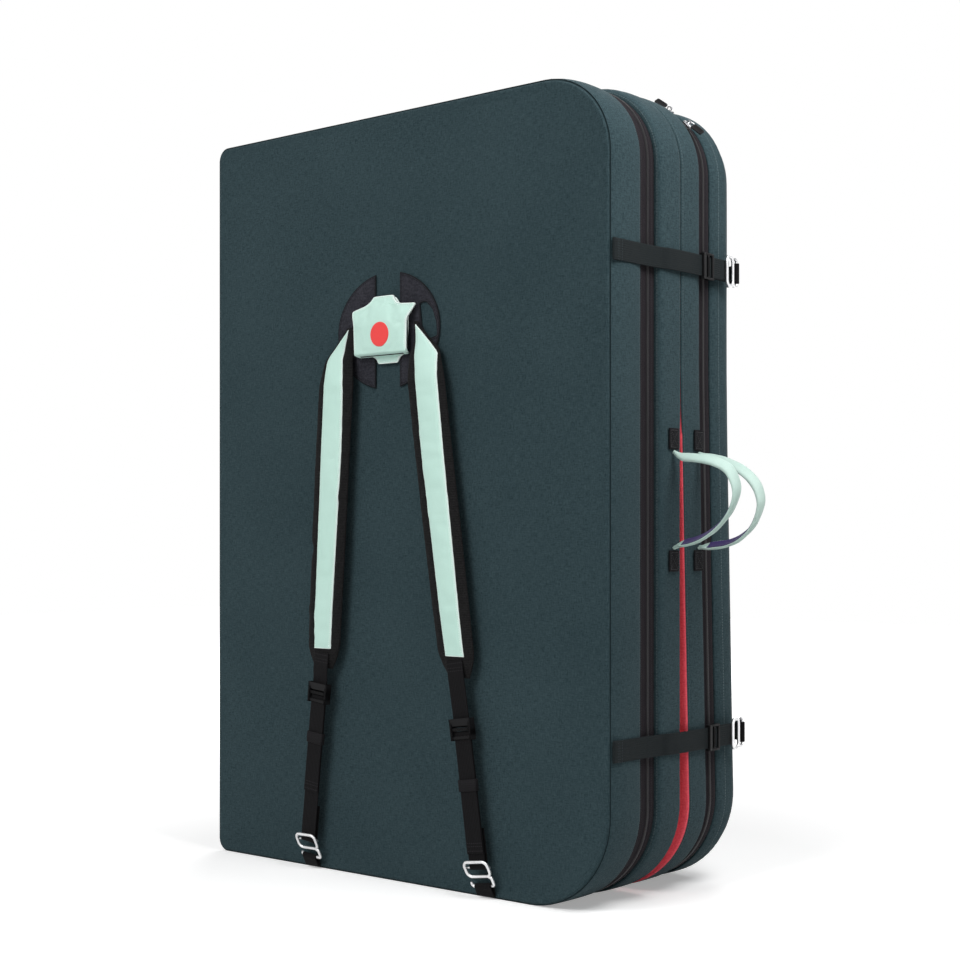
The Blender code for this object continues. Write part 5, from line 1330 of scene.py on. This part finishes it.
def closure(name, height):
    """A strap from the front seam over both halves to its hook, which holds a loop on the rear half."""
    body = name + "_strap"
    back = float(lean(WIDTH, height))
    gap, hook_y, x = BAR_BEND, CLOSURE_HOOK_Y + back, WIDTH + CLOSURE_OUT
    bar = Vector((x - gap, hook_y, height))
    path = [Vector((WIDTH + 0.0036, 0.020, height)), Vector((WIDTH + 0.0036, 0.0048, height))]
    path += arc((WIDTH + 0.0048, 0.0042, height), (-1, 0, 0), (0, -1, 0), 0.0012, 0, 180, 8)
    path += [Vector((WIDTH + a, y, height)) for a, y in (
        (0.0061, 0.012), (0.0064, 0.020), (0.0064, 0.040), (0.0065, 0.060), (0.0070, 0.076), (0.0082, 0.094),
        (0.0100, 0.1122), (0.0120, 0.118), (0.0134, 0.12375), (0.0150, 0.142), (CLOSURE_OUT, 0.1615),
        (CLOSURE_OUT, 0.20), (CLOSURE_OUT, hook_y - 0.02))]
    path += arc(bar, (1, 0, 0), (0, 1, 0), gap, 0, 180, 10)
    path += [bar + Vector((-gap, -(hook_y - CLOSURE_BUCKLE_Y - back - BUCKLE_LONG / 2 - 0.007), 0))]
    strap_on(name + "_strap_webbing", name + "_webbing", dense(path, 0.005), (0, 0, 1), body, CLOSURE_SEWN)
    bars = ((-0.0122, 0.0042), (0.0, 0.0034), (0.0122, 0.0042))
    ladder_buckle(name + "_slide", name + "_slide_buckle", name + "_buckle",
                  Place((x, CLOSURE_BUCKLE_Y + back, height), (0, 1, 0), (1, 0, 0)), 1, bars)
    place = Place(bar, (-CLOSURE_HOOK_TILT, 1, 0), (1, 0, 0)).moved(0, 0, BAR_BACK)
    wire_hook(name + "_wire_hook", name + "_hook", name + "_hook", place)
    end = place.at(0, HOOK_REACH, 0)
    along, out = Vector((0, 1, 0)), Vector((1, 0, 0))
    centre = Vector((WIDTH - LOOP_MIDDLE, DEPTH + back - LOOP_MIDDLE, height))
    sewn = WIDTH - LOOP_SEWN
    path = [Vector((sewn, centre.y + LOOP_OUTER, height))] + arc(centre, out, along, LOOP_OUTER, 90, 40, 6)
    path += arc(end, out, along, HOOK_WIRE + CLEAR + WEB_THICK / 2, 50, -180, 14)
    path += arc(centre, out, along, LOOP_INNER, 45, 90, 6) + [Vector((sewn, centre.y + LOOP_INNER, height))]
    strap_on(name + "_catch_loop", name + "_loop", dense(path, 0.004), (0, 0, 1), "rear_half", WEBBING_SEWN)


# The grab handles

HANDLE_TWIST = math.radians(31)
HANDLE_Y = {"front": 0.138, "rear": DEPTH - 0.1255 + float(lean(WIDTH, HANDLE_Z))}
HANDLE_LINES = {
    "front": ((0, -1), (0.13, -0.925), (0.32, -0.865), (0.51, -0.757), (0.70, -0.57), (0.85, -0.35), (0.96, -0.09),
              (1, 0.17), (0.96, 0.42), (0.85, 0.64), (0.66, 0.78), (0.43, 0.855), (0.21, 0.89), (0.09, 0.93), (0, 1)),
    "rear": ((0, -1), (0.25, -0.965), (0.47, -0.92), (0.66, -0.81), (0.84, -0.60), (0.955, -0.33), (1, -0.05),
             (0.965, 0.20), (0.88, 0.40), (0.76, 0.57), (0.60, 0.71), (0.42, 0.82), (0.22, 0.90), (0.09, 0.95), (0, 1))}
HANDLE_WIDE, HANDLE_ROOT_WIDE, HANDLE_DEEP, HANDLE_ROOT_DEEP, HANDLE_ROOT = 0.0195, 0.0055, 0.0052, 0.0040, 0.01284


def handle_stations(half, y):
    """Along the arch, which sags a little: share of full width, middle, directions and share of its length."""
    root = WIDTH + HANDLE_ROOT
    reach = WIDTH + HANDLE_TIP - 0.004 - root
    line = [(root + reach * a, y, HANDLE_Z + HANDLE_BASE / 2 * c) for a, c in HANDLE_LINES[half]]
    path = curve_through(line, 0.003)
    runs = running([(b - a).length for a, b in zip(path, path[1:])])
    found = []
    for i, share in enumerate(2 * runs / runs[-1] - 1):
        along = heading(path, i)
        across = square_to(Vector((0, math.cos(HANDLE_TWIST), math.sin(HANDLE_TWIST))), along)
        full = float(eased(1 - abs(share), 0.0, 0.17))
        found.append((full, path[i], across, across.cross(along), share))
    return found


def handle(half):
    """A sleeve rolled into a channel, open towards the hand, with a lining in it."""
    y = HANDLE_Y[half]
    rows, uvs, lined = [], [], []
    run = 0.0
    last = None
    for full, place, across, normal, share in handle_stations(half, y):
        run += (place - last).length if last is not None else 0.0
        last = place
        wide = HANDLE_ROOT_WIDE + (HANDLE_WIDE - HANDLE_ROOT_WIDE) * full
        deep = HANDLE_ROOT_DEEP + (HANDLE_DEEP - HANDLE_ROOT_DEEP) * full
        wall = min(0.0019, 0.36 * wide)
        uneven = 0.0003 * full * math.sin(run * 190 + (1.3 if half == "rear" else 0))
        outer = [(-wide / 2 * math.cos(t), -deep / 2 + (deep + uneven) * math.sin(t) ** 0.72)
                 for t in np.linspace(0.0, math.pi, 21)]
        inner = [(-(wide / 2 - wall) * math.cos(t), -deep / 2 + (deep - wall) * math.sin(t) ** 0.8 * 0.9)
                 for t in np.linspace(0.0, math.pi, 17)]
        lip = [((wide - wall) / 2 + wall / 2 * math.cos(t), -deep / 2 - wall * 0.30 * math.sin(t))
               for t in np.linspace(0, math.pi, 6)[1:-1]]
        ring = outer + lip + inner[::-1] + [(-a, c) for a, c in lip[::-1]]
        rows.append(ring_at(place, across, normal, ring))
        uvs.append([(run, s) for s in girth(ring)])
        if abs(share) < 0.88:
            lined.append((full, place, across, normal))
    sheet = Sheet()
    sheet.capped(rows, uvs)
    made = sheet.build(half + "_grab_handle", HANDLE_MINT, sharp=65)
    placed(made, half + "_handle", half + "_handle_sleeve", slot="mint_fabric", padded=0.8)
    rows, uvs, run = [], [], 0.0
    for i, (full, place, across, normal) in enumerate(lined):
        run += (place - lined[i - 1][1]).length if i else 0.0
        wide = 0.0035 + 0.0118 * full
        ring = [(wide / 2 * s, -0.0024 - 0.0004 * full + 0.0006 * (1 - s * s)) for s in np.linspace(-1, 1, 11)]
        ring += [(a, c - 0.0010) for a, c in ring[::-1]]
        rows.append(ring_at(place, across, normal, ring))
        uvs.append([(k * 0.002, run) for k in range(len(ring) + 1)])
    sheet = Sheet()
    sheet.capped(rows, uvs)
    placed(sheet.build(half + "_handle_inside", LINING, sharp=50), half + "_handle", half + "_handle_lining",
           slot="lining_fabric")
    for side, sign in (("lower", -1), ("upper", 1)):
        tab(half, side, sign, y)


def tab(half, side, sign, y):
    """The handle's webbing end, sewn to the wall with a crossed box of stitches."""
    place = Place((WIDTH + WALL_CREST, y, HANDLE_Z + sign * TAB_FROM_MIDDLE), (0, 0, 1), (1, 0, 0))
    loop = resampled(rounded(rectangle(TAB_WIDE / 2, TAB_LONG / 2), 0.0012, 3), 0.003)
    profile = [(0.0, 0.0), (0.0, 0.0007), (0.0004, 0.0013), (0.0014, 0.0015), (0.0026, 0.0012), (0.0036, 0.0014)]
    made = plate(f"{half}_{side}_tab", place, [loop], profile, TAB)
    placed(made, half + "_half", f"{half}_handle_{side}_tab", slot="webbing")
    sheet = Sheet()
    corners = [place.at(a, b, 0.00135) for a, b in rectangle(TAB_WIDE / 2 - 0.003, TAB_LONG / 2 - 0.003)]
    for first, second in ((0, 1), (1, 2), (2, 3), (3, 0), (0, 2), (1, 3)):
        stitch_line(sheet, [corners[first], corners[second]], place.out, 0.0034, 0.0024, 0.00032)
    placed(sheet.build(f"{half}_{side}_tab_stitches", THREAD), half + "_half", slot="webbing")


# The spine and the sliders

def spine_panel():
    """The fabric hinge over the spine, hemmed and sewn down on both halves."""
    half = SPINE_WIDE / 2
    marks = np.concatenate([[-1, -0.996, -0.985, -0.96, -0.93, -0.90], np.linspace(-0.84, 0.84, 29),
                            [0.90, 0.93, 0.96, 0.985, 0.996, 1]])
    y = half * marks
    edge = half - np.abs(y)
    out = SPINE_THICK * turned_edge(edge, 0.0012) - 0.0004 * bumped(edge, 0.0055, 0.0012)
    z = np.linspace(SPINE_RADIUS, HEIGHT - SPINE_RADIUS, 90)
    sheet = Sheet()
    for lift in (out, np.zeros(len(y))):
        uneven = 0.0003 * np.sin(z[:, None] * 31 + 40 * y[None]) * (edge > 0.012)
        x = -CLEAR - lift[None] - (uneven if lift is out else 0)
        grid = np.stack(np.broadcast_arrays(x, DEPTH / 2 + y[None], z[:, None]), -1)
        sheet.grid(grid, np.stack(np.broadcast_arrays(z[:, None], y[None]), -1))
    for row in (0, -1):
        height = np.full(len(y), z[row])
        pair = np.stack([np.stack([-CLEAR - lift, DEPTH / 2 + y, height], -1) for lift in (out, 0 * out)])
        sheet.grid(pair, np.zeros((2, len(y), 2)))
    made = sheet.build("spine_panel", SPINE_CLOTH, (0.05, DEPTH / 2, HEIGHT / 2), weld=1e-5)
    placed(made, None, "spine_strip", slot="shell_fabric")
    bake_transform(made)


def zip_slider(name, place, pull_side, tilt=0.0, turned=0.0):
    """A cast slider with its bridge, and a pull: a wire ring and a moulded tab.

    tilt lifts the pull off the tape, and turned rolls it about its length.
    """
    long, wide, high = SLIDER_LONG, SLIDER_WIDE, SLIDER_HIGH
    sheet = Sheet()
    stations = ((-1, 0.55), (-0.85, 0.80), (-0.5, 0.96), (0, 0.82), (0.45, 0.98), (0.8, 0.9), (1, 0.6))
    rows = []
    turn = np.linspace(0, 2 * math.pi, 25)
    for share, full in stations:
        tall = high / 2 * (0.72 + 0.28 * full)
        rows.append([place.at(wide / 2 * full * np.sign(math.cos(t)) * abs(math.cos(t)) ** 0.6, share * long / 2,
                              high / 2 + tall * np.sign(math.sin(t)) * abs(math.sin(t)) ** 0.5) for t in turn])
    sheet.capped(rows, np.zeros((len(rows), len(turn), 2)))
    bridge = [(-0.0036, 0.0036), (-0.0036, 0.0070), (-0.0026, 0.0082), (0.0026, 0.0082), (0.0036, 0.0070),
              (0.0036, 0.0036)]
    tube(sheet, curve_through([place.at(0, b, c) for b, c in bridge], 0.001), 0.0009, 8)
    placed(sheet.build(name + "_body", SLIDER, sharp=50), name, name, slot="slider_metal")
    pin = place.moved(0, 0, SLIDER_HIGH + SLIDER_PIN)
    pull_name = name.replace("slider", "pull")
    sheet = Sheet()
    s = pull_side
    ring = [(-0.0032, -0.0006), (0.0032, -0.0006), (0.0036, 0.0040), (0.0030, 0.0085), (-0.0030, 0.0085),
            (-0.0036, 0.0040)]
    out = pin.out * math.cos(turned) - pin.across * math.sin(turned)
    tilted = Place(pin.origin, pin.along + pin.out * s * tilt, out)
    ring = [tilted.at(a, s * b, 0) for a, b in rounded(ring, 0.0016, 3)]
    tube(sheet, ring, 0.0008, 8, True)
    placed(sheet.build(pull_name + "_ring", HOOK), pull_name, slot="hook_metal")
    loop = rounded([(-0.0038, s * 0.0072), (0.0038, s * 0.0072), (0.0045, s * 0.012), (0.0045, s * 0.027),
                    (0.0036, s * 0.0289), (-0.0036, s * 0.0289), (-0.0045, s * 0.027), (-0.0045, s * 0.012)],
                   0.0014, 3)
    profile = [(0.0005, -0.0012), (0.0, -0.0007), (0.0, 0.0007), (0.0005, 0.0012), (0.0012, 0.0012), (0.0018, 0.0008)]
    made = plate(pull_name + "_tab", tilted, [resampled(loop, 0.002)], profile, PLASTIC, 50)
    placed(made, pull_name, pull_name, slot="buckle_plastic")


def sliders():
    """Two sliders round the rear half's top corner, and two on the front half's top."""
    lift = 0.0018 + 2 * CLEAR - 0.0005
    for side, share, sign in (("upper", 0.70, 1), ("lower", 0.47, -1)):
        turn = math.radians(90 * share)
        out, along = Vector((math.cos(turn), 0, math.sin(turn))), Vector((-math.sin(turn), 0, math.cos(turn)))
        centre = mapped("rear", (WIDTH - TOP_RADIUS, (ZIP_START + ZIP_END) / 2, HEIGHT - TOP_RADIUS))
        place = Place(Vector(centre) + out * (TOP_RADIUS + lift + 0.0012), along, out)
        zip_slider(f"rear_{side}_slider", place, sign, PULL_TILT, PULL_TURN)
    for side, sign in (("spine", 1), ("opening", -1)):
        place = (SLIDERS_MIDDLE - sign * SLIDERS_APART, (ZIP_START + ZIP_END) / 2, HEIGHT + lift)
        zip_slider(f"front_{side}_slider", Place(place, (-1, 0, 0), (0, 0, 1)), sign)


def foam(half, kind, stations, material, slot):
    """A block of foam inside the covers, through rings at pairs of depth and offset."""
    sheet = Sheet()
    panel(sheet, half, *stations[0], 1, 0.0)
    loft(sheet, half, stations, 1, None, 0, 0.0, 0.0)
    panel(sheet, half, *stations[-1], 1, 0.0)
    placed(sheet.build(f"{half}_{kind}_foam", material, sharp=50), half + "_half", f"{half}_foam_{kind}", slot=slot)


for half_name, seed_number in (("front", 3), ("rear", 40)):
    covers(half_name, seed_number)
    zips(half_name)
    handle(half_name)
    foam(half_name, "core", FOAM_EDGE[half_name] + [(0.1280, -0.0028)], SOFT_FOAM, "open_cell_foam")
    foam(half_name, "top", [(0.1282, -0.0028), (0.1580, -0.0028)], FIRM_FOAM, "closed_cell_foam")
patch("left", -1)
patch("right", 1)
yoke()
for strap_name, strap_sizes in STRAPS.items():
    shoulder_strap(strap_name, strap_sizes)
closure("top_closure", TOP_CLOSURE)
closure("bottom_closure", BOTTOM_CLOSURE)
spine_panel()
sliders()


# Camera, lights and floor

CAMERA_LENS, CAMERA_SHIFT, CAMERA_YAW, CAMERA_PLACE = 63.64, 0.0548, 39.89, (2.12, -1.865, 0.521)
# Name, place, target, watts and size
LAMPS = (("key", (-0.6, -4.9, 4.7), (0, 0, 0.8), 255, 3.2), ("back", (-2.6, 4.2, 3.2), (0, 0, 0.7), 110, 3.0),
         ("side", (1.15, -0.1, 1.75), (0.35, 0, 0.9), 21, 0.8))


def lamp(name, place, target, energy, size):
    """A white area lamp that looks at a target."""
    data = bpy.data.lights.new(name, "AREA")
    data.energy = energy
    data.size = size
    made = bpy.data.objects.new(name, data)
    bpy.context.collection.objects.link(made)
    made.location = place
    made.rotation_euler = (Vector(target) - Vector(place)).to_track_quat("-Z", "Y").to_euler()


def white_to_camera(tree, plain, amount):
    """White where the camera, a reflection or a clear surface looks, and plain light elsewhere."""
    path = tree.nodes.new("ShaderNodeLightPath")
    seen = path.outputs["Is Camera Ray"]
    for key in ("Is Glossy Ray", "Is Transmission Ray"):
        add = tree.nodes.new("ShaderNodeMath")
        add.operation = "MAXIMUM"
        tree.links.new(seen, add.inputs[0])
        tree.links.new(path.outputs[key], add.inputs[1])
        seen = add.outputs[0]
    mixed = tree.nodes.new("ShaderNodeMix")
    tree.links.new(seen, mixed.inputs[0])
    mixed.inputs[2].default_value = plain
    if isinstance(amount, bpy.types.NodeSocket):
        tree.links.new(amount, mixed.inputs[3])
    else:
        mixed.inputs[3].default_value = amount
    return mixed.outputs[0]


def studio():
    """The pale floor, the soft lamps, and the camera at the photograph's viewing angle."""
    scene = bpy.context.scene
    scene.view_settings.view_transform = "Standard"
    world = bpy.data.worlds.new("studio")
    scene.world = world
    world.use_nodes = True
    tree = world.node_tree
    tree.nodes["Background"].inputs[0].default_value = (1, 1, 1, 1)
    tree.links.new(white_to_camera(tree, 0.14, 1.0), tree.nodes["Background"].inputs[1])
    for sizes in LAMPS:
        lamp(*sizes)
    look = Look("floor", 0.9, Specular_IOR_Level=0.0)
    grain = look.noise(look.place, 3.0, 2.0)
    look.colour(look.mix(grain, (0.90, 0.90, 0.90), (0.93, 0.93, 0.93)))
    look.shader.inputs["Emission Color"].default_value = (1, 1, 1, 1)
    square = look.node("ShaderNodeVectorMath", {0: look.place, 1: look.place}, operation="DOT_PRODUCT")
    away = look.sum("SQRT", square.outputs["Value"])
    glow = look.ramp(away, 0.55, 2.0, 0.32, 1.0)
    look.tree.links.new(white_to_camera(look.tree, 0.0, glow), look.shader.inputs["Emission Strength"])
    sheet = Sheet()
    size = np.linspace(-7, 7, 9)
    grid = np.array([[(x, y, -0.0004) for x in size] for y in size])
    sheet.grid(grid, grid[..., :2])
    floor = sheet.build("floor", look.made)
    data = bpy.data.cameras.new("camera")
    data.sensor_width = 36
    data.lens = CAMERA_LENS
    data.shift_y = CAMERA_SHIFT
    camera = bpy.data.objects.new("camera", data)
    scene.collection.objects.link(camera)
    camera.location = spot(CAMERA_PLACE)
    camera.rotation_euler = (math.radians(90), 0, math.radians(CAMERA_YAW))
    scene.camera = camera


studio()
